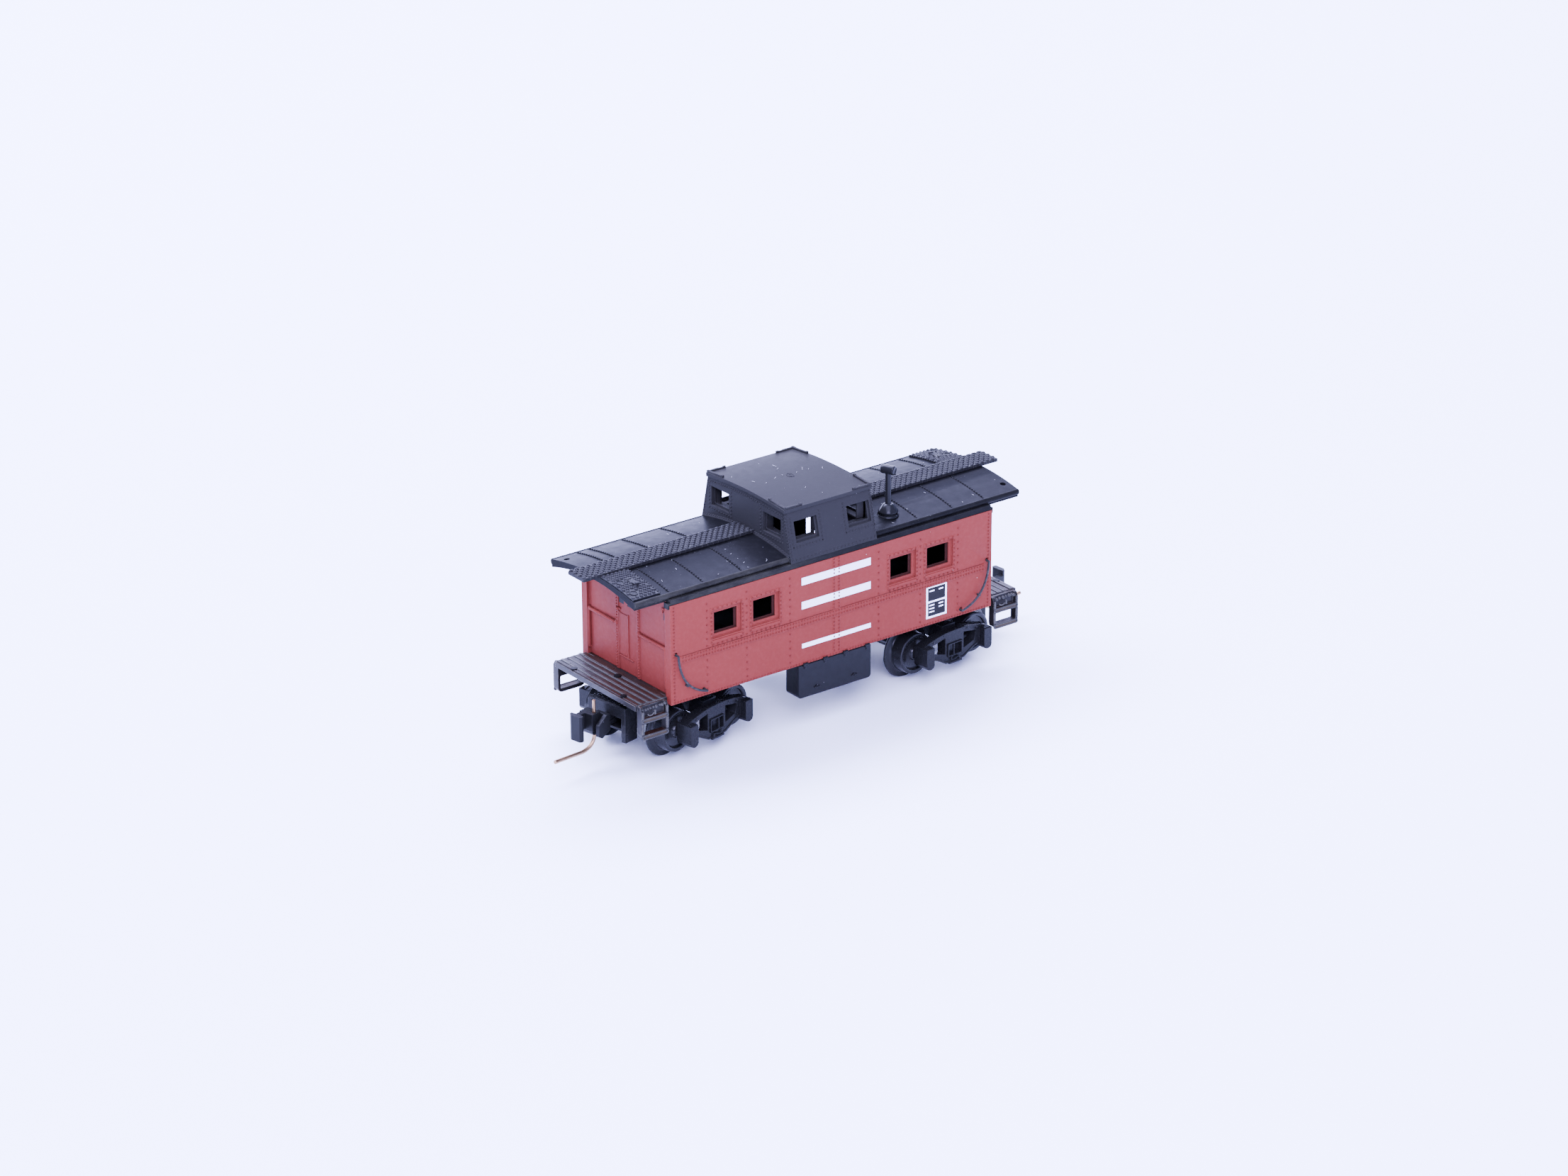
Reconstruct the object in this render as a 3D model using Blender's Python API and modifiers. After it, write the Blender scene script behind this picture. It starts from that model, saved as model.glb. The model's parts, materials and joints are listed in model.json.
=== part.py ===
"""Z scale (1:220) model caboose: moulded body, roof and cupola on two swivelling trucks.

The model stands on the wheel flanges at z = 0. X runs along the car, Y across it and Z up.
Both trucks are one moulding, built with its coupler along the local +X, then turned into place.
"""

import math

import bmesh
import bpy
from mathutils import Matrix, Vector

MM = 0.001

# Fits
GAP = 0.04
FINE = 0.03

# Body shell
BODY_HALF = 18.02
SIDE_Y = 6.70
WALL = 0.80
SIDE_BOTTOM = 5.99
SIDE_TOP = 15.40
END_SETBACK = 0.28
WINDOW_INNER = (6.47, 8.88)
WINDOW_OUTER = (10.66, 13.16)
WINDOW_SILL = 11.45
WINDOW_HEAD = 13.48
FRAME_MARGIN = 0.34
FRAME_DEPTH = 0.22
BELT_LOW = 9.88
BELT_HIGH = 10.40
BELT_PROUD = 0.07
DOOR_HALF = 1.72
DOOR_BAR = 0.34
RAIL_Z = 11.05
RAIL_RADIUS = 0.14

# Roof
ROOF_HALF = 21.45
ROOF_EDGE = 6.30
ROOF_CROWN = 17.15
ROOF_FALL = 0.0177
CEILING_CROWN = 16.67
CEILING_FALL = 0.0243
LEDGE_LOW = 15.43
LEDGE_HIGH = 15.92
LEDGE_IN = 5.45
LEDGE_OUT = 6.64
LIP_LOW = 14.80
ARCH_STEPS = 14

# Running boards
BOARD_HALF = 1.23
BOARD_END = 23.20
BOARD_LOW = 17.21
BOARD_HIGH = 17.60
LATERAL_IN = 18.70
LATERAL_THICK = 0.16

# Cupola
CUPOLA_HALF = 4.78
CUPOLA_BASE = 15.96
CUPOLA_BASE_Y = 6.70
CUPOLA_EAVE = 20.42
CUPOLA_EAVE_Y = 5.66
CUPOLA_WALL = 0.50
CUPOLA_ROOF_HALF = 4.90
CUPOLA_ROOF_Y = 5.78
CUPOLA_ROOF_EDGE = 20.77
CUPOLA_ROOF_CROWN = 21.08
CUPOLA_ROOF_THICK = 0.34
CUPOLA_WINDOWS_X = ((-3.93, -1.38), (1.92, 4.45))
CUPOLA_WINDOW_Z = (17.62, 19.54)
CUPOLA_END_WINDOW_Y = (2.52, 5.12)
CUPOLA_END_WINDOW_Z = (17.86, 19.66)

# Smoke jack
JACK_X = 7.82
JACK_Y = -4.43
JACK_SEAT = 16.60
JACK_FLANGE = 0.93
JACK_STEM = 0.27
JACK_HEAD_Z = 21.16

# Underframe, platforms and steps
FLOOR_LOW = 5.75
FLOOR_HIGH = 6.65
FLOOR_Y = 5.86
PLATFORM_HALF = 21.45
PLATFORM_Y = 6.10
PLATFORM_LOW = 6.18
STEP_IN = 18.36
STEP_OUT = 21.22
STEP_DEEP = 6.02
STEP_FACE = 6.74
STEP_LOW = 3.58
TREADS = (3.58, 5.14)
TREAD_THICK = 0.34
SILL_Y = 1.20
SILL_HALF = 7.00
SILL_LOW = 4.70
TOOLBOX_HALF = 4.10
TOOLBOX_FACE = 6.74
TOOLBOX_BACK = 4.85
TOOLBOX_LOW = 2.72

# Trucks
TRUCK_X = 13.82
LEFT_TRUCK_TURN = 12.2
RIGHT_TRUCK_TURN = 5.2
AXLE_X = 3.635
AXLE_Z = 2.63
FRAME_IN = 5.00
FRAME_OUT = 6.02
JOURNAL_LID = 6.70
BOLSTER_HALF = 0.84
BOLSTER_TOP = 4.62
PAD_TOP = 4.85
KINGPIN_RADIUS = 0.45

# Wheels
FLANGE_RADIUS = 2.63
FLANGE_CREST = 3.28
TREAD_RADIUS = 1.94
WHEEL_BACK = 3.10
WHEEL_FACE = 4.74
AXLE_RADIUS = 0.40
JOURNAL_RADIUS = 0.27
BORE_RADIUS = 0.32
AXLE_TIP = 5.58

# Couplers
POST_X = 6.00
POST_RADIUS = 0.30
POCKET_BACK = 4.34
POCKET_LOW = 3.35
POCKET_HIGH = 4.34
POCKET_Y = 1.70
BOX_FRONT = 7.70
BOX_Y = 2.18
BOX_TOP = 5.40
CHEEK_LOW = 2.10
TRIP_X = 9.25
TRIP_Y = -0.10
TRIP_RADIUS = 0.18
KNUCKLE_FACE = 11.62

ROUND = 24
WHEEL_SIDES = 24

RED = (0.42, 0.115, 0.10)
ROOF_BLACK = (0.045, 0.048, 0.065)
FRAME_BLACK = (0.020, 0.021, 0.024)
DECK_BLACK = (0.040, 0.034, 0.032)
RAIL_GREY = (0.12, 0.12, 0.13)
COPPER = (0.55, 0.36, 0.24)
STEEL = (0.42, 0.42, 0.43)


def clear_scene():
    for old in list(bpy.data.objects):
        bpy.data.objects.remove(old, do_unlink=True)
    for old in list(bpy.data.collections):
        bpy.data.collections.remove(old)


clear_scene()
PARTS = bpy.data.collections.new("model_caboose")
CUTTERS = bpy.data.collections.new("cutters")
bpy.context.scene.collection.children.link(PARTS)
bpy.context.scene.collection.children.link(CUTTERS)


def material(name, colour, roughness, metallic=0.0):
    made = bpy.data.materials.new(name)
    made.use_nodes = True
    shader = made.node_tree.nodes["Principled BSDF"]
    shader.inputs["Base Color"].default_value = (*colour, 1.0)
    shader.inputs["Roughness"].default_value = roughness
    shader.inputs["Metallic"].default_value = metallic
    return made


def from_bmesh(name, bm):
    """Turn a bmesh drawn in millimetres into an object in metres."""
    bmesh.ops.scale(bm, vec=(MM, MM, MM), verts=bm.verts)
    bmesh.ops.recalc_face_normals(bm, faces=bm.faces)
    mesh = bpy.data.meshes.new(name)
    bm.to_mesh(mesh)
    bm.free()
    made = bpy.data.objects.new(name, mesh)
    CUTTERS.objects.link(made)
    made.hide_render = True
    made.display_type = "WIRE"
    return made


def block(x0, x1, y0, y1, z0, z1):
    bm = bmesh.new()
    bmesh.ops.create_cube(bm, size=1.0)
    bmesh.ops.scale(bm, vec=(x1 - x0, y1 - y0, z1 - z0), verts=bm.verts)
    middle = ((x0 + x1) / 2, (y0 + y1) / 2, (z0 + z1) / 2)
    bmesh.ops.translate(bm, vec=middle, verts=bm.verts)
    return from_bmesh("block", bm)


def rod(radius, centre, low, high, axis="Z", top_radius=None, sides=ROUND):
    """A cylinder or cone of the given span along one axis, through the point `centre`."""
    bm = bmesh.new()
    bmesh.ops.create_cone(
        bm,
        cap_ends=True,
        segments=sides,
        radius1=radius,
        radius2=radius if top_radius is None else top_radius,
        depth=high - low,
    )
    bmesh.ops.translate(bm, vec=(0, 0, (low + high) / 2), verts=bm.verts)
    turn = Matrix.Identity(3)
    if axis == "Y":
        turn = Matrix.Rotation(math.radians(-90), 3, "X")
    if axis == "X":
        turn = Matrix.Rotation(math.radians(90), 3, "Y")
    bmesh.ops.rotate(bm, cent=(0, 0, 0), matrix=turn, verts=bm.verts)
    bmesh.ops.translate(bm, vec=centre, verts=bm.verts)
    return from_bmesh("rod", bm)


def curve_to_mesh(curve_object, name):
    """Freeze a curve as a mesh with its caps welded, so that Booleans accept it."""
    graph = bpy.context.evaluated_depsgraph_get()
    mesh = bpy.data.meshes.new_from_object(curve_object.evaluated_get(graph))
    bm = bmesh.new()
    bm.from_mesh(mesh)
    bmesh.ops.remove_doubles(bm, verts=bm.verts, dist=1e-7)
    bmesh.ops.recalc_face_normals(bm, faces=bm.faces)
    bm.to_mesh(mesh)
    bm.free()
    made = bpy.data.objects.new(name, mesh)
    made.matrix_world = curve_object.matrix_world
    CUTTERS.objects.link(made)
    made.hide_render = True
    made.display_type = "WIRE"
    bpy.data.objects.remove(curve_object, do_unlink=True)
    return made


def plate(points, low, high, plane="XY"):
    """A flat outline extruded between two levels of the axis its plane leaves out."""
    curve = bpy.data.curves.new("outline", "CURVE")
    curve.dimensions = "2D"
    curve.fill_mode = "BOTH"
    curve.extrude = (high - low) / 2 * MM
    spline = curve.splines.new("POLY")
    spline.points.add(len(points) - 1)
    for point, (u, v) in zip(spline.points, points):
        point.co = (u * MM, v * MM, 0, 1)
    spline.use_cyclic_u = True
    drawn = bpy.data.objects.new("outline", curve)
    CUTTERS.objects.link(drawn)
    middle = (low + high) / 2 * MM
    if plane == "XZ":
        drawn.matrix_world = Matrix.Translation((0, middle, 0)) @ Matrix.Rotation(
            math.radians(90), 4, "X"
        )
    elif plane == "YZ":
        to_yz = Matrix(((0, 0, 1, 0), (1, 0, 0, 0), (0, 1, 0, 0), (0, 0, 0, 1)))
        drawn.matrix_world = Matrix.Translation((middle, 0, 0)) @ to_yz
    else:
        drawn.matrix_world = Matrix.Translation((0, 0, middle))
    bpy.context.view_layer.update()
    made = curve_to_mesh(drawn, "plate")
    made.data.transform(made.matrix_world)
    made.matrix_world = Matrix.Identity(4)
    return made


def wire(points, radius, sides=2):
    """A bent round wire through the given points."""
    curve = bpy.data.curves.new("wire", "CURVE")
    curve.dimensions = "3D"
    curve.bevel_depth = radius * MM
    curve.bevel_resolution = sides
    curve.use_fill_caps = True
    spline = curve.splines.new("POLY")
    spline.points.add(len(points) - 1)
    for point, place in zip(spline.points, points):
        point.co = (place[0] * MM, place[1] * MM, place[2] * MM, 1)
    drawn = bpy.data.objects.new("wire", curve)
    CUTTERS.objects.link(drawn)
    bpy.context.view_layer.update()
    return curve_to_mesh(drawn, "wire")


def rounded_path(corners, radius, steps=4):
    """Points along a path whose inner corners are rounded by a given radius."""
    path = [Vector(corners[0])]
    for before, corner, after in zip(corners, corners[1:], corners[2:]):
        corner = Vector(corner)
        back = (Vector(before) - corner).normalized() * radius
        on = (Vector(after) - corner).normalized() * radius
        for step in range(steps + 1):
            t = step / steps
            a = corner + back * (1 - t)
            b = corner + on * t
            path.append(a.lerp(b, t))
    path.append(Vector(corners[-1]))
    return path


def turned(profile, name="turned", sides=ROUND):
    """Spin a profile of (radius, height) pairs, listed top to bottom, about Z."""
    bm = bmesh.new()
    verts = [bm.verts.new((r, 0, z)) for r, z in profile]
    for upper, lower in zip(verts, verts[1:]):
        bm.edges.new((upper, lower))
    made = from_bmesh(name, bm)
    screw = made.modifiers.new("Spin", "SCREW")
    screw.steps = sides
    screw.render_steps = sides
    screw.use_merge_vertices = True
    screw.merge_threshold = 1e-6
    return made


def join(base, operation, others):
    """Add one exact Boolean modifier for each of the other shapes."""
    for other in others:
        step = base.modifiers.new(operation.title(), "BOOLEAN")
        step.operation = operation
        step.solver = "EXACT"
        step.object = other


def node(name, base, look, adds=(), cuts=(), axis=None, origin=(0, 0, 0)):
    """Finish a sub-part: unite, cut, name, colour and place it on its axis."""
    everything = [base, *adds, *cuts]
    offset = Vector(origin) * MM
    for shape in everything:
        shape.data.transform(Matrix.Translation(-offset))
    join(base, "UNION", adds)
    join(base, "DIFFERENCE", cuts)
    CUTTERS.objects.unlink(base)
    PARTS.objects.link(base)
    base.name = name
    base.data.name = name
    base.hide_render = False
    base.display_type = "TEXTURED"
    base.data.materials.clear()
    base.data.materials.append(material(name, *look))
    for shape in everything:
        shape.location = offset
        if axis is not None:
            shape.parent = axis
    base.data.set_sharp_from_angle(angle=math.radians(35))
    return base


def mirrored(make):
    """The same shape made for both sides of the car."""
    return [make(1), make(-1)]


def span(a, b, sign):
    """Ordered limits of a span that lies on one side of a centre plane."""
    return (a, b) if sign > 0 else (-b, -a)


def arch(crown, fall, half, steps=ARCH_STEPS):
    """Points of a shallow arch, from -half to +half."""
    points = []
    for step in range(steps + 1):
        y = half * (2 * step / steps - 1)
        points.append((y, crown - fall * y * y))
    return points


# ---------------------------------------------------------------- body shell


def side_wall(sign):
    y = span(SIDE_Y - WALL, SIDE_Y, sign)
    return block(-BODY_HALF, BODY_HALF, *y, SIDE_BOTTOM, SIDE_TOP)


def end_wall(sign):
    inner = SIDE_Y - WALL + 0.05
    top = arch(CEILING_CROWN - GAP, CEILING_FALL, inner)
    base = FLOOR_HIGH + GAP
    outline = [(-inner, base), (inner, base)] + top[::-1]
    return plate(outline, *span(17.0, BODY_HALF - END_SETBACK, sign), plane="YZ")


def window_spans():
    for near, far in (WINDOW_INNER, WINDOW_OUTER):
        for sign in (1, -1):
            yield span(near, far, sign)


def window_cut(limits):
    return block(*limits, -SIDE_Y - 1, SIDE_Y + 1, WINDOW_SILL, WINDOW_HEAD)


def window_frame_cut(limits, sign):
    grown = (limits[0] - FRAME_MARGIN, limits[1] + FRAME_MARGIN)
    y = span(SIDE_Y - FRAME_DEPTH, SIDE_Y + 1, sign)
    return block(*grown, *y, WINDOW_SILL - FRAME_MARGIN, WINDOW_HEAD + FRAME_MARGIN)


def belt(sign):
    y = span(SIDE_Y - 0.1, SIDE_Y + BELT_PROUD, sign)
    return block(-BODY_HALF + 1.2, BODY_HALF - 1.2, *y, BELT_LOW, BELT_HIGH)


def door_bar(end, side):
    x = span(BODY_HALF - END_SETBACK - 0.1, BODY_HALF - END_SETBACK + 0.1, end)
    y = span(DOOR_HALF - DOOR_BAR, DOOR_HALF, side)
    top = CEILING_CROWN - CEILING_FALL * DOOR_HALF**2 - 0.2
    return block(*x, *y, FLOOR_HIGH + GAP, top)


def end_rail(end, side):
    x = end * (BODY_HALF - END_SETBACK + 0.16)
    inside = side * (DOOR_HALF + 0.15)
    corner = side * 5.78
    into = end * (BODY_HALF - END_SETBACK - 0.12)
    path = [(into, inside, RAIL_Z), (x, inside, RAIL_Z), (x, corner, RAIL_Z)]
    path += [(x, corner, 7.3), (into, corner, 7.3)]
    return wire(rounded_path(path, 0.2, 3), RAIL_RADIUS, 1)


def door_window_cut(sign):
    x = span(BODY_HALF - 2, BODY_HALF + 1, sign)
    return block(*x, -0.5, 0.5, 13.2, 15.0)


def build_body():
    ends = mirrored(end_wall)
    adds = [side_wall(-1), *ends, *mirrored(belt)]
    for end in (1, -1):
        for side in (1, -1):
            adds.append(door_bar(end, side))
            adds.append(end_rail(end, side))
    cuts = []
    for limits in window_spans():
        cuts.append(window_frame_cut(limits, 1))
        cuts.append(window_frame_cut(limits, -1))
        cuts.append(window_cut(limits))
    cuts += mirrored(door_window_cut)
    for end in (1, -1):
        for side in (1, -1):
            for x, z in HANDRAIL_FEET:
                y = span(SIDE_Y - 0.5, SIDE_Y + 0.4, side)
                low, high = y
                cuts.append(rod(HANDRAIL_RADIUS + FINE, (end * x, 0, z), low, high, "Y", sides=8))
    node("body_shell", side_wall(1), (RED, 0.62), adds, cuts)


# ---------------------------------------------------------------- curved side handrails

HANDRAIL_RADIUS = 0.15
HANDRAIL_OUT = 7.06
HANDRAIL_TOP = (17.46, 10.72)
HANDRAIL_FOOT = (14.50, 6.62)
HANDRAIL_FEET = (HANDRAIL_TOP, HANDRAIL_FOOT)
HANDRAIL_BEND = (17.30, 7.30)


def handrail_path(side):
    """One bent wire: in at the top, down, round the lower corner and in at the foot."""
    inside = side * (SIDE_Y - 0.42)
    out = side * HANDRAIL_OUT
    top = Vector((HANDRAIL_TOP[0], out, HANDRAIL_TOP[1]))
    bend = Vector((HANDRAIL_BEND[0], out, HANDRAIL_BEND[1]))
    foot = Vector((HANDRAIL_FOOT[0], out, HANDRAIL_FOOT[1]))
    path = [Vector((top.x, inside, top.z))]
    steps = 9
    for step in range(steps + 1):
        t = step / steps
        path.append(top.lerp(bend, t).lerp(bend.lerp(foot, t), t))
    path.append(Vector((foot.x, inside, foot.z)))
    return path


def build_handrails():
    corners = {"left_front": (-1, -1), "right_front": (1, -1)}
    corners.update({"left_back": (-1, 1), "right_back": (1, 1)})
    for corner, (end, side) in corners.items():
        path = [Vector((end * p.x, p.y, p.z)) for p in handrail_path(side)]
        node(f"handrail_{corner}", wire(path, HANDRAIL_RADIUS), (RAIL_GREY, 0.45))


# ---------------------------------------------------------------- roof


def roof_arch():
    top = arch(ROOF_CROWN, ROOF_FALL, ROOF_EDGE)
    under = arch(CEILING_CROWN, CEILING_FALL, ROOF_EDGE - 0.1)
    return plate(top + under[::-1], -ROOF_HALF, ROOF_HALF, plane="YZ")


def roof_ledge(sign):
    """The fascia over the side wall, flush with the car's side."""
    y = span(SIDE_Y - WALL + 0.09, LEDGE_OUT, sign)
    return block(-17.9, 17.9, *y, LEDGE_LOW, LEDGE_HIGH)


def inner_ledge(sign):
    y = span(LEDGE_IN, SIDE_Y - WALL + 0.3, sign)
    return block(-16.9, 16.9, *y, LEDGE_LOW + 0.02, LEDGE_HIGH - 0.02)


def roof_lip(sign):
    high = LEDGE_LOW + 0.2
    y = span(LEDGE_IN, SIDE_Y - WALL - GAP, sign)
    return block(-16.8, 16.8, *y, LIP_LOW, high)


def rail_hole(end, side):
    return rod(0.28, (end * 20.75, side * 4.9, 0), 15.0, 18.0, sides=12)


def build_roof():
    adds = mirrored(roof_ledge) + mirrored(inner_ledge) + mirrored(roof_lip)
    opening = block(-CUPOLA_HALF - GAP, CUPOLA_HALF + GAP, -8, 8, LEDGE_HIGH, 19)
    seat = rod(JACK_FLANGE + GAP, (JACK_X, JACK_Y, 0), JACK_SEAT, 18.0)
    peg = rod(0.42, (JACK_X, JACK_Y, 0), 15.0, 18.0, sides=16)
    between = block(-CUPOLA_HALF - 0.6, CUPOLA_HALF + 0.6, -LEDGE_IN, LEDGE_IN, 15, 15.9)
    holes = [rail_hole(end, side) for end in (1, -1) for side in (1, -1)]
    cuts = [opening, between, seat, peg, *holes]
    node("roof", roof_arch(), (ROOF_BLACK, 0.48), adds, cuts)


def lateral(sign):
    """The cross walk that lies on the slope of the roof, on one side of one end."""
    low = arch(ROOF_CROWN + GAP, ROOF_FALL, 6.0, 10)
    points = [(sign * y, z) for y, z in low if y >= 0]
    upper = [(y, z + LATERAL_THICK) for y, z in points]
    outline = points + upper[::-1]
    return plate(outline, *span(LATERAL_IN, ROOF_HALF - 0.05, sign), plane="YZ")


def build_running_boards():
    for name, sign in (("left", -1), ("right", 1)):
        x = span(CUPOLA_HALF + GAP, BOARD_END, sign)
        board = block(*x, -BOARD_HALF, BOARD_HALF, BOARD_LOW, BOARD_HIGH)
        cut = rod(0.25, (sign * 20.75, sign * 4.9, 0), 15.0, 18.0, sides=12)
        node(f"running_board_{name}", board, (ROOF_BLACK, 0.5), [lateral(sign)], [cut])


# ---------------------------------------------------------------- cupola


def cupola_lean(z):
    part = (z - CUPOLA_BASE) / (CUPOLA_EAVE - CUPOLA_BASE)
    return CUPOLA_BASE_Y + part * (CUPOLA_EAVE_Y - CUPOLA_BASE_Y)


def cupola_crown(edge, half, crown=CUPOLA_ROOF_CROWN):
    return arch(crown, (crown - edge) / (half * half), half)


def cupola_block(inset, low, crown_drop):
    """The cupola's leaning outline, drawn `inset` inside the outer faces."""
    eave = CUPOLA_EAVE
    foot = cupola_lean(low) - inset
    head = cupola_lean(eave) - inset
    crown = CUPOLA_ROOF_CROWN - crown_drop
    top = cupola_crown(eave, head, crown)
    outline = [(-foot, low), (foot, low)] + top[::-1]
    half = CUPOLA_HALF - inset
    return plate(outline, -half, half, plane="YZ")


def cupola_roof():
    top = cupola_crown(CUPOLA_ROOF_EDGE, CUPOLA_ROOF_Y)
    low_crown = CUPOLA_ROOF_CROWN - CUPOLA_ROOF_THICK
    low_edge = CUPOLA_ROOF_EDGE - CUPOLA_ROOF_THICK
    under = cupola_crown(low_edge, CUPOLA_ROOF_Y - 0.04, low_crown)
    outline = top + under[::-1]
    return plate(outline, -CUPOLA_ROOF_HALF, CUPOLA_ROOF_HALF, plane="YZ")


def corner_strips(end, side):
    """Raised strips along both edges of one corner of the cupola's roof."""
    x_edge = CUPOLA_ROOF_HALF - 0.04
    y_edge = CUPOLA_ROOF_Y - 0.05
    low = CUPOLA_ROOF_EDGE - 0.12
    x = span(x_edge - 0.22, x_edge, end)
    long_x = span(x_edge - 1.3, x_edge - 0.02, end)
    y = span(y_edge - 0.22, y_edge, side)
    long_y = span(y_edge - 1.25, y_edge - 0.02, side)
    along = block(*long_x, *y, low, CUPOLA_ROOF_EDGE + 0.18)
    across = block(*x, *long_y, low + 0.02, CUPOLA_ROOF_EDGE + 0.24)
    return [along, across]


def build_cupola():
    adds = [cupola_roof()]
    for end in (1, -1):
        for side in (1, -1):
            adds += corner_strips(end, side)
    cuts = [cupola_block(CUPOLA_WALL, CUPOLA_BASE - 0.4, 0.44)]
    for x in CUPOLA_WINDOWS_X:
        cuts.append(block(*x, -9, 9, *CUPOLA_WINDOW_Z))
    for sign in (1, -1):
        y = span(*CUPOLA_END_WINDOW_Y, sign)
        cuts.append(block(-7, 7, *y, *CUPOLA_END_WINDOW_Z))
    shell = cupola_block(0.0, CUPOLA_BASE, 0.2)
    node("cupola", shell, (ROOF_BLACK, 0.5), adds, cuts)


def build_smoke_jack():
    z = JACK_SEAT + FINE
    profile = [(0, JACK_HEAD_Z), (JACK_STEM, JACK_HEAD_Z), (JACK_STEM, 18.28)]
    profile += [(0.40, 18.10), (0.78, 17.36), (0.84, 17.12), (0.80, 17.04)]
    profile += [(JACK_FLANGE, 16.98), (JACK_FLANGE, z), (0.38, z), (0.38, z - 0.5), (0, z - 0.5)]
    jack = turned(profile)
    for vert in jack.data.vertices:
        vert.co.z -= JACK_SEAT * MM
    head = rod(0.43, (0, 0, JACK_HEAD_Z - JACK_SEAT), -0.68, 0.68, "Y", sides=20)
    made = node("smoke_jack", jack, (FRAME_BLACK, 0.35), [head])
    for shape in (made, head):
        shape.location = (JACK_X * MM, JACK_Y * MM, JACK_SEAT * MM)


# ---------------------------------------------------------------- underframe


def platform(sign):
    x = span(BODY_HALF + GAP, PLATFORM_HALF, sign)
    return block(*x, -PLATFORM_Y, PLATFORM_Y, PLATFORM_LOW, FLOOR_HIGH)


def step_side(end, side, x0, x1):
    """One hanger plate of a step, slightly wider at the top."""
    deep = side * STEP_DEEP
    face = side * STEP_FACE
    top = FLOOR_HIGH - 0.08
    outline = [(deep, STEP_LOW), (face, STEP_LOW), (face, top - 0.5), (side * 6.5, top)]
    outline += [(deep, top)]
    return plate(outline, *span(x0, x1, end), plane="YZ")


def step(end, side):
    """Two treads between two hangers, with a closed riser above the upper tread."""
    shapes = [step_side(end, side, STEP_IN, STEP_IN + 0.26)]
    shapes.append(step_side(end, side, STEP_OUT - 0.26, STEP_OUT))
    x = span(STEP_IN + 0.1, STEP_OUT - 0.1, end)
    y = span(STEP_DEEP, STEP_FACE, side)
    for level in TREADS:
        shapes.append(block(*x, *y, level, level + TREAD_THICK))
    riser = span(STEP_DEEP, STEP_DEEP + 0.3, side)
    shapes.append(block(*x, *riser, TREADS[1] + 0.1, FLOOR_HIGH - 0.05))
    return shapes


def bolster_boss(sign):
    return rod(1.40, (sign * TRUCK_X, 0, 0), PAD_TOP + 0.06, FLOOR_LOW + 0.1)


def deck_hole(x, y):
    return rod(0.27, (x, y, 0), 5.5, 7.0, sides=12)


def peg_slots(side):
    y = span(5.2 - GAP, 5.6 + GAP, side)
    left = block(-3.3 - GAP, -2.7 + GAP, *y, 5, FLOOR_LOW + 0.5)
    right = block(2.7 - GAP, 3.3 + GAP, *y, 5, FLOOR_LOW + 0.5)
    return [left, right]


def build_underframe():
    inside = BODY_HALF - 0.01
    floor = block(-inside, inside, -FLOOR_Y, FLOOR_Y, FLOOR_LOW, FLOOR_HIGH)
    neck = block(-BODY_HALF - 0.2, BODY_HALF + 0.2, -5.0, 5.0, PLATFORM_LOW, FLOOR_HIGH)
    adds = [neck, *mirrored(platform), *mirrored(bolster_boss)]
    adds.append(block(-SILL_HALF, SILL_HALF, -SILL_Y, SILL_Y, SILL_LOW, FLOOR_LOW + 0.1))
    cuts = []
    for end in (1, -1):
        cuts.append(rod(KINGPIN_RADIUS + FINE, (end * TRUCK_X, 0, 0), 4.5, 6.3, sides=16))
        cuts.append(deck_hole(end * 18.85, 0.0))
        for side in (1, -1):
            adds += step(end, side)
            cuts.append(deck_hole(end * 21.0, side * 3.75))
    for side in (1, -1):
        cuts += peg_slots(side)
    node("underframe", floor, (DECK_BLACK, 0.5), adds, cuts)


def build_weight():
    bar = block(-15.0, 15.0, -4.6, 4.6, FLOOR_HIGH + GAP, FLOOR_HIGH + 1.6)
    node("weight", bar, (STEEL, 0.4, 1.0))


def toolbox(name, side):
    low = FLOOR_LOW - GAP
    y = span(TOOLBOX_BACK, TOOLBOX_FACE, side)
    base = block(-TOOLBOX_HALF, TOOLBOX_HALF, *y, TOOLBOX_LOW, low)
    front = span(SIDE_Y - WALL + 0.06, TOOLBOX_FACE, side)
    high = SIDE_BOTTOM - GAP
    adds = [block(-TOOLBOX_HALF, TOOLBOX_HALF, *front, low - 0.3, high)]
    peg = span(5.2, 5.6, side)
    adds.append(block(-3.3, -2.7, *peg, low - 0.2, low + 0.45))
    adds.append(block(2.7, 3.3, *peg, low - 0.2, low + 0.45))
    node(name, base, (FRAME_BLACK, 0.42), adds)


# ---------------------------------------------------------------- trucks


def truck_axis(name, end, turn):
    """The empty on a truck's kingpin: local +X points out of the car's end."""
    made = bpy.data.objects.new(name, None)
    PARTS.objects.link(made)
    made.location = (end * TRUCK_X * MM, 0, 0)
    half_turn = 0.0 if end > 0 else math.pi
    made.rotation_euler = (0, 0, half_turn + math.radians(turn))
    return made


def side_frame(sign):
    """The arched outline of one cast side frame."""
    right = [(4.10, 2.36), (4.10, 3.62), (3.20, 3.90), (2.2, 4.12), (1.2, 4.26)]
    upper = right + [(-x, z) for x, z in right[::-1]]
    lower = [(-3.1, 2.2), (-2.3, 1.95), (-1.15, 1.32), (1.15, 1.32), (2.3, 1.95), (3.1, 2.2)]
    return plate(upper + lower, *span(FRAME_IN, FRAME_OUT, sign), plane="XZ")


def frame_light(sign, end):
    """The three-cornered opening between a journal and the spring pocket."""
    points = [(1.16, 2.20), (2.5, 2.62), (2.75, 3.5), (1.16, 3.82)]
    outline = [(end * x, z) for x, z in points]
    return plate(outline, *span(FRAME_IN - 0.5, FRAME_OUT + 0.5, sign), plane="XZ")


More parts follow.
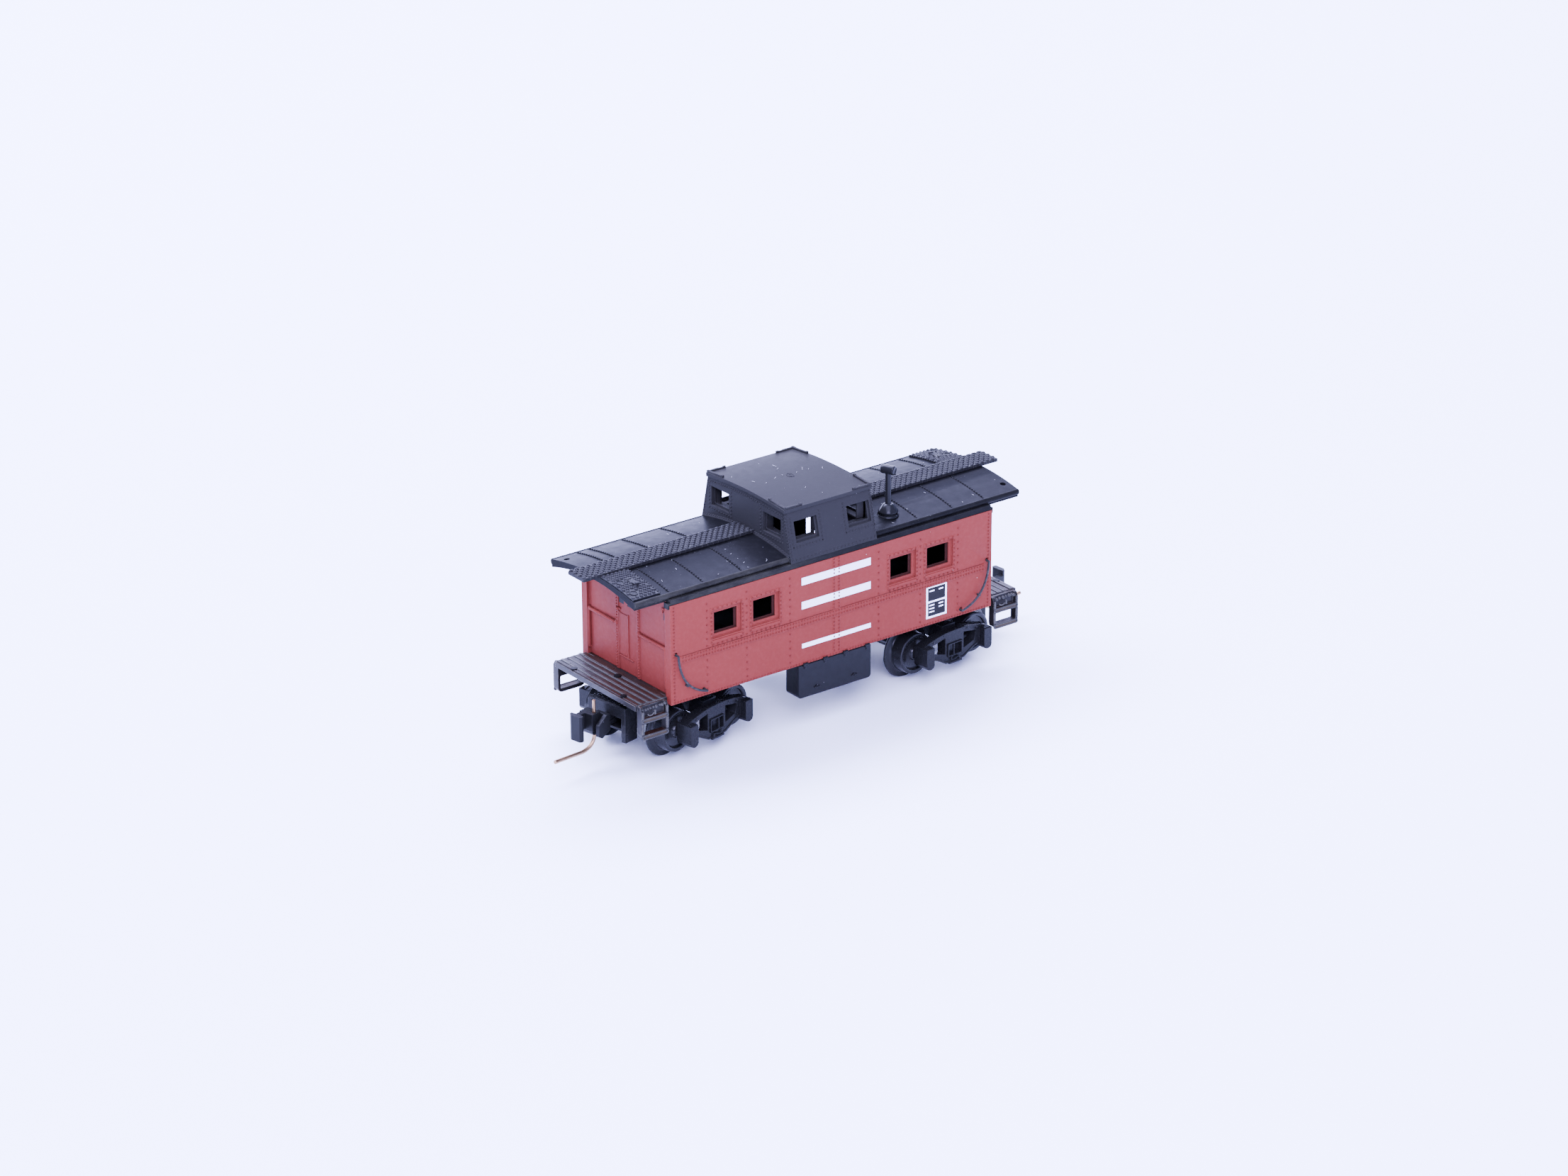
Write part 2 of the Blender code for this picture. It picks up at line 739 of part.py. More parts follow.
def spring_pocket(sign):
    return block(-0.8, 0.8, *span(FRAME_OUT - 0.35, FRAME_OUT + 0.5, sign), 1.95, 3.05)


def spring_bar(sign):
    return block(-0.14, 0.14, *span(FRAME_OUT - 0.45, FRAME_OUT - 0.1, sign), 1.9, 3.1)


def journal_box(sign, end):
    y = span(FRAME_IN, JOURNAL_LID, sign)
    x = end * AXLE_X
    return block(x - 0.47, x + 0.47, *y, 1.62, 3.66)


def journal_bore(sign, end):
    low, high = span(FRAME_IN - 0.4, AXLE_TIP + 0.06, sign)
    return rod(BORE_RADIUS, (end * AXLE_X, 0, AXLE_Z), low, high, "Y", sides=16)


def coupler_box():
    """Roof, cheeks and pivot post of the coupler pocket on the truck's tongue."""
    shapes = [block(0.6, BOX_FRONT, -BOX_Y, BOX_Y, POCKET_HIGH, PAD_TOP - 0.02)]
    shapes.append(block(POCKET_BACK - 0.5, POCKET_BACK, -BOX_Y, BOX_Y, 3.2, POCKET_HIGH + 0.1))
    shapes.append(block(6.2, BOX_FRONT, -BOX_Y, BOX_Y, PAD_TOP - 0.2, BOX_TOP))
    for sign in (1, -1):
        y = span(POCKET_Y, BOX_Y, sign)
        shapes.append(block(POCKET_BACK - 0.3, 6.4, *y, 3.1, POCKET_HIGH + 0.1))
        shapes.append(block(6.2, BOX_FRONT, *y, CHEEK_LOW, BOX_TOP - 0.1))
    shapes.append(rod(POST_RADIUS, (POST_X, 0, 0), 3.12, POCKET_HIGH + 0.1, sides=16))
    return shapes


def build_truck_frame(name, axis):
    bolster = block(-BOLSTER_HALF, BOLSTER_HALF, -FRAME_IN - 0.2, FRAME_IN + 0.2, 3.2, BOLSTER_TOP)
    adds = mirrored(side_frame)
    adds.append(rod(1.35, (0, 0, 0), 3.2, PAD_TOP))
    cuts = []
    for sign in (1, -1):
        for end in (1, -1):
            adds.append(journal_box(sign, end))
            cuts.append(frame_light(sign, end))
            cuts.append(journal_bore(sign, end))
    cuts += mirrored(spring_pocket)
    cuts.append(rod(KINGPIN_RADIUS + 0.05, (0, 0, 0), 3.0, 5.2, sides=16))
    adds += coupler_box()
    node(name, bolster, (FRAME_BLACK, 0.38), adds, cuts, axis)


def build_kingpin(name, axis):
    r = KINGPIN_RADIUS
    profile = [(0, 6.24), (r - 0.1, 6.24), (r, 6.1), (r, 3.16), (0.82, 3.16), (0.82, 2.95)]
    profile += [(0.6, 2.88), (0, 2.88)]
    node(name, turned(profile, sides=16), (STEEL, 0.35, 1.0), axis=axis)


def wheel_half():
    """Half a wheelset from the axle's tip in, as (radius, distance along the axle)."""
    face = WHEEL_FACE
    half = [(JOURNAL_RADIUS - 0.12, AXLE_TIP), (JOURNAL_RADIUS, AXLE_TIP - 0.12)]
    half += [(JOURNAL_RADIUS, face + 0.05), (0.64, face)]
    half += [(0.68, face - 0.26), (1.50, face - 0.28), (1.58, face)]
    half += [(TREAD_RADIUS - 0.04, face), (TREAD_RADIUS, face - 0.06)]
    half += [(TREAD_RADIUS + 0.03, FLANGE_CREST + 0.24)]
    half += [(FLANGE_RADIUS - 0.05, FLANGE_CREST + 0.05), (FLANGE_RADIUS, FLANGE_CREST - 0.02)]
    half += [(FLANGE_RADIUS - 0.08, WHEEL_BACK), (0.9, WHEEL_BACK)]
    half += [(AXLE_RADIUS, WHEEL_BACK - 0.2)]
    return half


def build_wheelset(name, axis, x):
    outer = wheel_half()
    inner = [(r, -y) for r, y in outer[::-1]]
    profile = [(0, AXLE_TIP)] + outer + inner + [(0, -AXLE_TIP)]
    shape = turned(profile, sides=WHEEL_SIDES)
    made = node(name, shape, (FRAME_BLACK, 0.3), axis=axis)
    made.rotation_euler = (math.radians(-90), 0, 0)
    made.location = (x * MM, 0, AXLE_Z * MM)
    return made


# ---------------------------------------------------------------- couplers


def build_lid(name, axis):
    lid = block(POCKET_BACK + 0.02, BOX_FRONT - 0.1, -POCKET_Y + GAP, POCKET_Y - GAP, 3.10, 3.31)
    hole = rod(POST_RADIUS + FINE, (POST_X, 0, 0), 3.0, 3.5, sides=16)
    node(name, lid, (FRAME_BLACK, 0.4), cuts=[hole], axis=axis)


def build_spring(name, axis):
    """A short coil between the back of the pocket and the two shanks."""
    turns = 3.5
    start = POCKET_BACK + 0.10
    length = 0.72
    count = 34
    path = []
    for step in range(count + 1):
        t = step / count
        angle = 2 * math.pi * turns * t
        y = 0.30 * math.cos(angle)
        z = 3.84 + 0.30 * math.sin(angle)
        path.append((start + length * t, y, z))
    node(name, wire(path, 0.07, 1), (STEEL, 0.3, 1.0), axis=axis)


def shank(low, high, reach):
    ring = rod(0.68, (POST_X, 0, 0), low, high, sides=20)
    arm = block(POST_X + 0.3, reach, -0.42, 0.42, low, high)
    hole = rod(POST_RADIUS + 0.05, (POST_X, 0, 0), low - 1, high + 1, sides=16)
    return ring, arm, hole


def build_guard_half(name, axis):
    """The upper shank, which ends in the guard arm beside the coupler's mouth."""
    ring, arm, hole = shank(3.87, 4.30, 8.6)
    cross = block(8.3, 8.72, -0.42, 0.95, 3.87, 4.82)
    outline = [(8.3, 4.82), (8.75, 4.82), (9.75, 4.10), (9.75, 3.05), (9.35, 2.80), (8.3, 3.3)]
    guard = plate(outline, 0.56, 0.95, plane="XZ")
    node(name, ring, (FRAME_BLACK, 0.36), [arm, cross, guard], [hole], axis, (POST_X, 0, 0))


def knuckle_arm_outline():
    """The hook's arm seen from above, along one side of the mouth."""
    outline = [(9.6, -1.18), (10.5, -1.18), (11.24, -1.06), (11.40, -0.66)]
    return outline + [(10.90, -0.62), (9.6, -0.70)]


def knuckle_face_outline():
    """The taller face across the mouth, square to the coupler."""
    outline = [(11.14, -1.00), (11.40, -0.97), (KNUCKLE_FACE, -0.66), (KNUCKLE_FACE, 0.34)]
    return outline + [(11.42, 0.47), (11.18, 0.44), (11.10, 0.28), (11.12, -0.36)]


def build_knuckle_half(name, axis):
    """The lower shank, which carries the head block, the hook and the trip pin."""
    ring, arm, hole = shank(3.40, 3.82, 9.1)
    head = block(8.84, 9.86, -1.28, 0.26, 3.40, 5.02)
    lip = rod(0.51, (9.35, -0.5, 3.42), -0.75, 0.72, "Y", sides=16)
    hook = plate(knuckle_arm_outline(), 3.44, 4.96)
    face = plate(knuckle_face_outline(), 3.02, 5.40)
    pin_hole = rod(TRIP_RADIUS + FINE, (TRIP_X, TRIP_Y, 0), 2.5, 6.0, sides=16)
    under = block(8.3, 10.4, -2, 2, 2.0, 3.0)
    origin = (POST_X, 0, 0)
    cuts = [hole, pin_hole, under]
    node(name, ring, (FRAME_BLACK, 0.36), [arm, head, lip, hook, face], cuts, axis, origin)


def trip_path():
    """Straight down through the head, then swept out under the knuckle."""
    drop = [Vector((TRIP_X, TRIP_Y, 6.15)), Vector((TRIP_X, TRIP_Y, 3.0))]
    a = Vector((TRIP_X, TRIP_Y, 3.0))
    b = Vector((9.30, TRIP_Y, 1.72))
    c = Vector((10.9, TRIP_Y, 1.70))
    sweep = []
    for step in range(1, 9):
        t = step / 8
        sweep.append(a.lerp(b, t).lerp(b.lerp(c, t), t))
    return drop + sweep + [Vector((12.4, TRIP_Y, 1.84)), Vector((14.35, TRIP_Y, 2.0))]


def build_trip_pin(name, axis):
    pin = wire(trip_path(), TRIP_RADIUS)
    node(name, pin, (COPPER, 0.35, 1.0), axis=axis, origin=(POST_X, 0, 0))


def build_truck(name, end, turn):
    axis = truck_axis(f"{name}_truck_axis", end, turn)
    build_truck_frame(f"{name}_truck_frame", axis)
    build_kingpin(f"{name}_kingpin", axis)
    build_wheelset(f"{name}_outer_wheelset", axis, AXLE_X)
    build_wheelset(f"{name}_inner_wheelset", axis, -AXLE_X)
    build_lid(f"{name}_coupler_lid", axis)
    build_spring(f"{name}_coupler_spring", axis)
    build_guard_half(f"{name}_coupler_guard_half", axis)
    build_knuckle_half(f"{name}_coupler_knuckle_half", axis)
    build_trip_pin(f"{name}_trip_pin", axis)


def main():
    build_underframe()
    build_weight()
    toolbox("toolbox_front", -1)
    toolbox("toolbox_back", 1)
    build_body()
    build_handrails()
    build_roof()
    build_running_boards()
    build_cupola()
    build_smoke_jack()
    build_truck("left", -1, LEFT_TRUCK_TURN)
    build_truck("right", 1, RIGHT_TRUCK_TURN)


main()
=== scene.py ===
import json
import math
import random

import bmesh
import bpy
from mathutils import Matrix, Vector

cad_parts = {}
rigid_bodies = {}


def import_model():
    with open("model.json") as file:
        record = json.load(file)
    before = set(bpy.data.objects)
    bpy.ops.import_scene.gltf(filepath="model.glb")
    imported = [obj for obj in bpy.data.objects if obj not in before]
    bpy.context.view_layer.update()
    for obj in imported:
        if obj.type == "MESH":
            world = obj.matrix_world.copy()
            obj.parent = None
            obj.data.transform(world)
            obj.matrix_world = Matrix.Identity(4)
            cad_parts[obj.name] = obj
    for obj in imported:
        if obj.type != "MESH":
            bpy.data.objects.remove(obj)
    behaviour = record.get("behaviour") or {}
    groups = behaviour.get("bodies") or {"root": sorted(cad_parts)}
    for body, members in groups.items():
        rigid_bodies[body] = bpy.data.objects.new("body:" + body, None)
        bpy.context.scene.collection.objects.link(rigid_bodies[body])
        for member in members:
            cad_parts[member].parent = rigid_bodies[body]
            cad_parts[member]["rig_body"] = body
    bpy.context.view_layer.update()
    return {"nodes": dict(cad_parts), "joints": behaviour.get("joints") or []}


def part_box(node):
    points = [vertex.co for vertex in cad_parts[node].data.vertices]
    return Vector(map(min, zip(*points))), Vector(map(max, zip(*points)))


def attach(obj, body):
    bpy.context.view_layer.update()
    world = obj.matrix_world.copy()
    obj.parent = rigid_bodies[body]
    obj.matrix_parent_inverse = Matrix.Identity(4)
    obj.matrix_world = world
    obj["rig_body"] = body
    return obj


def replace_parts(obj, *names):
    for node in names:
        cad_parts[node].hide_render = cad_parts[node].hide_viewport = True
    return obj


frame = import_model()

MM = 0.001
NODES = frame["nodes"]
DICE = random.Random(7)
SIDES = (("front", -1), ("back", 1))
ENDS = (("left", -1), ("right", 1))
QUARTERS = ((-1, -1), (-1, 1), (1, -1), (1, 1))
BEVEL_ANGLE = 32


# ---------------------------------------------------------------- camera, floor and light

CAMERA_AZIMUTH = -37.117
CAMERA_ELEVATION = 23.073
CAMERA_ROLL = -0.288
CAMERA_PLACE = (-244.92, -322.89, 182.84)
CAMERA_LENS = 112.5


def make_camera():
    azimuth = math.radians(CAMERA_AZIMUTH)
    elevation = math.radians(CAMERA_ELEVATION)
    roll = math.radians(CAMERA_ROLL)
    flat = math.cos(elevation)
    back = Vector((math.sin(azimuth) * flat, -math.cos(azimuth) * flat, math.sin(elevation)))
    level = Vector((math.cos(azimuth), math.sin(azimuth), 0.0))
    upright = back.cross(level)
    right = level * math.cos(roll) + upright * math.sin(roll)
    up = upright * math.cos(roll) - level * math.sin(roll)
    data = bpy.data.cameras.new("camera")
    data.lens = CAMERA_LENS
    data.sensor_width = 36.0
    data.clip_start = 0.01
    data.clip_end = 20.0
    camera = bpy.data.objects.new("camera", data)
    bpy.context.scene.collection.objects.link(camera)
    turn = Matrix((right, up, back)).transposed().to_4x4()
    camera.matrix_world = Matrix.Translation(Vector(CAMERA_PLACE) * MM) @ turn
    bpy.context.scene.camera = camera


def area_light(name, place, aim_z, size, watts, colour=(0.56, 0.57, 1.0)):
    """A panel aimed at a height above the middle of the floor, in metres."""
    data = bpy.data.lights.new(name, "AREA")
    data.shape = "RECTANGLE"
    data.size, data.size_y = size
    data.energy = watts
    data.color = colour
    lamp = bpy.data.objects.new(name, data)
    bpy.context.scene.collection.objects.link(lamp)
    lamp.location = place
    lamp.rotation_mode = "QUATERNION"
    aim = Vector((0, 0, aim_z)) - Vector(place)
    lamp.rotation_quaternion = aim.to_track_quat("-Z", "Y")


def make_stage():
    bm = bmesh.new()
    bmesh.ops.create_grid(bm, x_segments=1, y_segments=1, size=3.0)
    mesh = bpy.data.meshes.new("floor")
    bm.to_mesh(mesh)
    bm.free()
    floor = bpy.data.objects.new("floor", mesh)
    bpy.context.scene.collection.objects.link(floor)
    mesh.materials.append(floor_material())
    world = bpy.data.worlds.new("studio")
    bpy.context.scene.world = world
    world.use_nodes = True
    sky = world.node_tree.nodes["Background"]
    sky.inputs["Color"].default_value = (0.29, 0.36, 0.95, 1.0)
    sky.inputs["Strength"].default_value = 1.5
    area_light("back", (0.05, 0.27, 0.43), 0.0, (0.90, 0.26), 34.0)
    area_light("overhead", (-0.10, -0.12, 0.50), 0.0, (0.50, 0.40), 10.0)
    area_light("front", (-0.26, -0.40, 0.34), 0.01, (0.30, 0.30), 9.6, (0.58, 0.55, 1.0))
    area_light("far_wall", (0.20, 0.62, 0.12), 0.02, (1.20, 0.20), 12.0)


# ---------------------------------------------------------------- material nodes


class Surface:
    """A node tree with short calls; lengths are in millimetres on the piece itself."""

    def __init__(self, name):
        self.material = bpy.data.materials.new(name)
        self.material.use_nodes = True
        self.tree = self.material.node_tree
        self.shader = self.tree.nodes["Principled BSDF"]
        coords = self.node("TexCoord").outputs["Object"]
        self.place = self.node("VectorMath", "SCALE", Vector=coords, Scale=1.0 / MM).outputs[0]

    def node(self, kind, operation=None, **inputs):
        made = self.tree.nodes.new(f"ShaderNode{kind}")
        if operation:
            made.operation = operation
        for name, value in inputs.items():
            self.put(made.inputs[name.replace("_", " ")], value)
        return made

    def put(self, socket, value):
        if isinstance(value, bpy.types.NodeSocket):
            self.tree.links.new(value, socket)
        elif isinstance(value, tuple) and socket.type == "RGBA":
            socket.default_value = (*value, 1.0)
        else:
            socket.default_value = value

    def noise(self, scale, detail=2.0, roughness=0.5, stretch=None):
        """Smooth noise with `scale` cells to the millimetre."""
        where = self.place
        if stretch:
            where = self.node("Mapping", Vector=where, Scale=stretch).outputs[0]
        made = self.node("TexNoise", Vector=where, Scale=scale, Detail=detail, Roughness=roughness)
        return made.outputs["Fac"]

    def cells(self, scale, out):
        return self.node("TexVoronoi", Vector=self.place, Scale=scale).outputs[out]

    def maths(self, operation, a, b=0.0):
        made = self.node("Math", operation)
        self.put(made.inputs[0], a)
        self.put(made.inputs[1], b)
        return made.outputs[0]

    def times(self, a, b):
        return self.maths("MULTIPLY", a, b)

    def ramp(self, value, low, high, to_low=0.0, to_high=1.0):
        limits = {"From_Min": low, "From_Max": high, "To_Min": to_low, "To_Max": to_high}
        return self.node("MapRange", Value=value, **limits).outputs["Result"]

    def patches(self, noise, *limits):
        """A ramp over noise, given by the noise's own scale, detail and so on."""
        return self.ramp(self.noise(*noise), *limits)

    def mix(self, amount, a, b):
        made = self.node("Mix", Factor=amount)
        made.data_type = "RGBA"
        colours = [s for s in made.inputs if s.type == "RGBA"]
        self.put(colours[0], a)
        self.put(colours[1], b)
        return next(s for s in made.outputs if s.type == "RGBA")

    def axis(self, name):
        return self.node("SeparateXYZ", Vector=self.place).outputs[name]

    def edges(self, radius):
        """1 along the worn outer edges, 0 on the flats, and the rounded normal."""
        rounded = self.node("Bevel", Radius=radius * MM)
        rounded.samples = 6
        dot = self.node("VectorMath", "DOT_PRODUCT", Vector=rounded.outputs[0])
        self.put(dot.inputs[1], self.node("NewGeometry").outputs["Normal"])
        worn = self.maths("SUBTRACT", 1.0, dot.outputs["Value"])
        return self.ramp(worn, 0.015, 0.16), rounded.outputs[0]

    def facing_up(self):
        normal = self.node("NewGeometry").outputs["Normal"]
        return self.node("SeparateXYZ", Vector=normal).outputs["Z"]

    def specks(self, scale, size, rarity):
        """Scattered dust specks: round dots in a few of the cells."""
        near = self.cells(scale, "Distance")
        chosen = self.node("SeparateColor", Color=self.cells(scale, "Color"))
        few = self.maths("GREATER_THAN", chosen.outputs["Red"], rarity)
        return self.times(few, self.ramp(near, size * scale, size * scale * 0.5))

    def grain(self, noise, distance, strength, normal=None):
        """A fine tooth from noise, on top of another normal if one is given."""
        inputs = {"Height": self.noise(*noise), "Distance": distance * MM, "Strength": strength}
        if normal is not None:
            inputs["Normal"] = normal
        return self.node("Bump", **inputs).outputs[0]

    def finish(self, colour, roughness, normal, specular=0.5, metallic=0.0):
        self.put(self.shader.inputs["Base Color"], colour)
        self.put(self.shader.inputs["Roughness"], roughness)
        self.put(self.shader.inputs["Normal"], normal)
        self.put(self.shader.inputs["Metallic"], metallic)
        self.shader.inputs["Specular IOR Level"].default_value = specular
        return self.material


def floor_material():
    made = Surface("pale_floor")
    colour = made.mix(made.noise(0.02, 3), (0.80, 0.845, 0.93), (0.83, 0.87, 0.95))
    return made.finish(colour, 0.44, made.grain((0.9, 4), 0.05, 0.12), specular=0.40)


def red_paint(name, shade=1.0):
    """Flat oxide red with a fine tooth, pale rubbed edges, a little dust, and painted shade in the
    window reveals and on the inner walls.
    """
    made = Surface(name)
    shadow, light = (0.140, 0.0215, 0.0140), (0.162, 0.0275, 0.0185)
    # `shade` scales the red down; the rivets take a darker copy, painted shade round their heads.
    tones = [tuple(shade * part for part in tone) for tone in (shadow, light)]
    tone = made.mix(made.noise(0.16, 3), *tones)
    tone = made.mix(made.patches((3.0, 3), 0.45, 0.75, 0.0, 0.22), tone, (0.20, 0.042, 0.030))
    worn, rounded = made.edges(0.05)
    worn = made.times(worn, made.patches((1.4, 2), 0.35, 0.65, 0.15, 0.55))
    tone = made.mix(worn, tone, (0.26, 0.085, 0.060))
    drip = made.patches((0.5, 3, 0.6, (2.2, 2.2, 0.25)), 0.55, 0.8, 0.0, 0.14)
    tone = made.mix(drip, tone, (0.095, 0.015, 0.010))
    dust = made.times(made.specks(1.1, 0.045, 0.86), 0.75)
    tone = made.mix(dust, tone, (0.50, 0.36, 0.30))
    # Painted shade: within the body's length, faces set back from the side wall darken with depth
    # (the window reveals), and faces deeper in, the inner walls, go near black.
    depth = made.maths("ABSOLUTE", made.axis("Y"))
    within = made.maths("LESS_THAN", made.maths("ABSOLUTE", made.axis("X")), INSIDE_X)
    reveal_shade = made.times(within, made.ramp(depth, SIDE - 0.26, SIDE - 0.42, 0.0, 0.92))
    tone = made.mix(reveal_shade, tone, (0.026, 0.011, 0.008))
    unlit = made.times(within, made.ramp(depth, SIDE - 0.70, SIDE - 0.79))
    tone = made.mix(unlit, tone, (0.0012, 0.0010, 0.0010))
    rough = made.patches((2.2, 2), 0.2, 0.8, 0.50, 0.64)
    return made.finish(tone, rough, made.grain((9.0, 3), 0.012, 0.5, rounded), specular=0.06)


def roof_paint(name, tone_a, tone_b, pale_eave_band=False, edge_gain=0.5, specular=0.035):
    """Satin blue-black with soft mottling, pale edges and specks of lint."""
    made = Surface(name)
    tone = made.mix(made.noise(0.22, 4), tone_a, tone_b)
    lift = made.patches((1.6, 4, 0.65), 0.5, 0.85, 0.0, 0.20)
    tone = made.mix(lift, tone, (0.020, 0.020, 0.020))
    worn, rounded = made.edges(0.045)
    rub = made.patches((1.1, 3), 0.38, 0.70, 0.1 * edge_gain, edge_gain)
    tone = made.mix(made.times(worn, rub), tone, (0.075, 0.075, 0.065))
    if pale_eave_band:
        # A paler, patchy band along both eave rims, strongest towards the left end.
        band = made.ramp(made.maths("ABSOLUTE", made.axis("Y")), 6.12, 6.30)
        along = made.ramp(made.axis("X"), 2.0, -9.0, 0.10, 0.55)
        patch = made.patches((0.9, 4, 0.7, (0.35, 1, 1)), 0.36, 0.62, 0.15, 0.62)
        eave_band_mask = made.times(made.times(band, along), patch)
        tone = made.mix(eave_band_mask, tone, (0.060, 0.058, 0.044))
    fine = made.times(made.specks(3.4, 0.022, 0.80), 0.6)
    dust = made.maths("MAXIMUM", made.specks(1.5, 0.055, 0.84), fine)
    dust = made.times(dust, made.ramp(made.facing_up(), 0.1, 0.8, 0.35, 1.0))
    tone = made.mix(made.times(dust, 0.7), tone, (0.30, 0.31, 0.28))
    rough = made.patches((1.3, 3), 0.25, 0.75, 0.30, 0.42)
    return made.finish(tone, rough, made.grain((8.0, 3), 0.010, 0.45, rounded), specular)


def gloss_black(name, low=0.20, high=0.34, tone=(0.0052, 0.0052, 0.0050), edge=0.25, specular=0.09):
    """Bare black moulding: shiny, faintly rippled, with lighter handled edges."""
    made = Surface(name)
    colour = made.mix(made.noise(0.6, 3), tone, tuple(part * 1.7 for part in tone))
    worn, rounded = made.edges(0.05)
    rub = made.patches((1.2, 3), 0.35, 0.7, 0.05, edge)
    colour = made.mix(made.times(worn, rub), colour, (0.060, 0.060, 0.055))
    dust = made.times(made.specks(1.6, 0.05, 0.86), 0.45)
    colour = made.mix(dust, colour, (0.20, 0.20, 0.19))
    rough = made.patches((1.8, 3), 0.3, 0.75, low, high)
    return made.finish(colour, rough, made.grain((2.2, 3), 0.02, 0.35, rounded), specular)


def deck_paint(name, tone_a, tone_b, wash_gain=0.9):
    """Grey-black deck with brown wash in the hollows and silver rubbed on the edges."""
    made = Surface(name)
    colour = made.mix(made.noise(0.5, 4), tone_a, tone_b)
    up = made.ramp(made.facing_up(), 0.5, 0.95)
    wash = made.patches((0.45, 4, 0.6, (1.2, 0.30, 1)), 0.36, 0.54)
    wash = made.times(wash, made.times(up, wash_gain))
    colour = made.mix(wash, colour, (0.0165, 0.0062, 0.0032))
    scratch = made.patches((1.5, 4, 0.7, (3.2, 0.30, 1)), 0.60, 0.74)
    scratch = made.times(scratch, made.times(up, 0.42))
    colour = made.mix(scratch, colour, (0.085, 0.080, 0.065))
    worn, rounded = made.edges(0.07)
    rub = made.patches((1.6, 4, 0.7), 0.40, 0.62, 0.10, 0.95)
    colour = made.mix(made.times(worn, rub), colour, (0.15, 0.145, 0.115))
    dust = made.times(made.specks(2.0, 0.05, 0.82), 0.6)
    colour = made.mix(dust, colour, (0.22, 0.20, 0.16))
    rough = made.patches((1.5, 3), 0.3, 0.75, 0.26, 0.50)
    grain = made.grain((2.6, 4, 0.65, (1, 0.4, 1)), 0.035, 0.55, rounded)
    return made.finish(colour, rough, grain, specular=0.14)


def wire_paint():
    made = Surface("grey_wire")
    colour = made.mix(made.noise(1.6, 3), (0.012, 0.011, 0.010), (0.024, 0.023, 0.020))
    colour = made.mix(made.patches((3.0, 3), 0.5, 0.72, 0.0, 0.7), colour, (0.055, 0.052, 0.044))
    rough = made.patches((2.4, 2), 0.3, 0.7, 0.34, 0.55)
    return made.finish(colour, rough, made.grain((5.0, 3), 0.02, 0.5), specular=0.10)


def metal(name, tone_a, tone_b, low, high):
    made = Surface(name)
    colour = made.mix(made.patches((0.9, 4, 0.65), 0.35, 0.7), tone_a, tone_b)
    rough = made.patches((3.0, 3, 0.6), 0.3, 0.7, low, high)
    return made.finish(colour, rough, made.grain((6.0, 3, 0.6), 0.01, 0.5), metallic=1.0)


def white_ink():
    """Printed white: thin over the rivets, a trace of the red showing through."""
    made = Surface("white_ink")
    thin = made.patches((2.6, 4, 0.6), 0.60, 0.78, 0.0, 0.35)
    colour = made.mix(thin, (0.93, 0.94, 0.96), (0.70, 0.52, 0.50))
    return made.finish(colour, 0.5, made.grain((7.0, 3), 0.01, 0.5), specular=0.4)


# Flat black for black print; near black, it is also the painted shade in holes, slots and door
# windows.
def black_ink(name, low_tone, high_tone):
    made = Surface(name)
    colour = made.mix(made.noise(1.4, 3), low_tone, high_tone)
    return made.finish(colour, 0.5, made.grain((7.0, 3), 0.01, 0.5), specular=0.08)


def lint():
    made = Surface("lint")
    colour = made.mix(made.noise(4.0, 2), (0.30, 0.30, 0.30), (0.45, 0.45, 0.45))
    return made.finish(colour, 0.8, made.grain((9.0, 2), 0.005, 0.5), specular=0.2)


# ---------------------------------------------------------------- mesh helpers


def spread(first, last, steps):
    return [first + (last - first) * step / steps for step in range(steps + 1)]


def every(first, last, pitch):
    """Values from the first up to the last, one pitch apart."""
    return [first + pitch * step for step in range(math.ceil((last - first) / pitch))]


def line(a, b, steps):
    return [Vector(a).lerp(Vector(b), step / steps) for step in range(steps + 1)]


def curve(a, b, c, steps):
    """A path from a to c that is drawn towards b."""
    legs = zip(line(a, b, steps), line(b, c, steps))
    return [p.lerp(q, step / steps) for step, (p, q) in enumerate(legs)]


def arc(centre, u, v, first, last, steps):
    """Points round a centre from one angle to another, in degrees."""
    angles = [math.radians(angle) for angle in spread(first, last, steps)]
    return [Vector(centre) + Vector(u) * math.cos(a) + Vector(v) * math.sin(a) for a in angles]


def ring(centre, u, v, sides, turn=0.0):
    return arc(centre, u, v, turn, turn + 360, sides)[:-1]


def square_to(direction):
    """Two unit vectors square to a unit direction and to each other."""
    side = direction.orthogonal().normalized()
    return side, direction.cross(side)


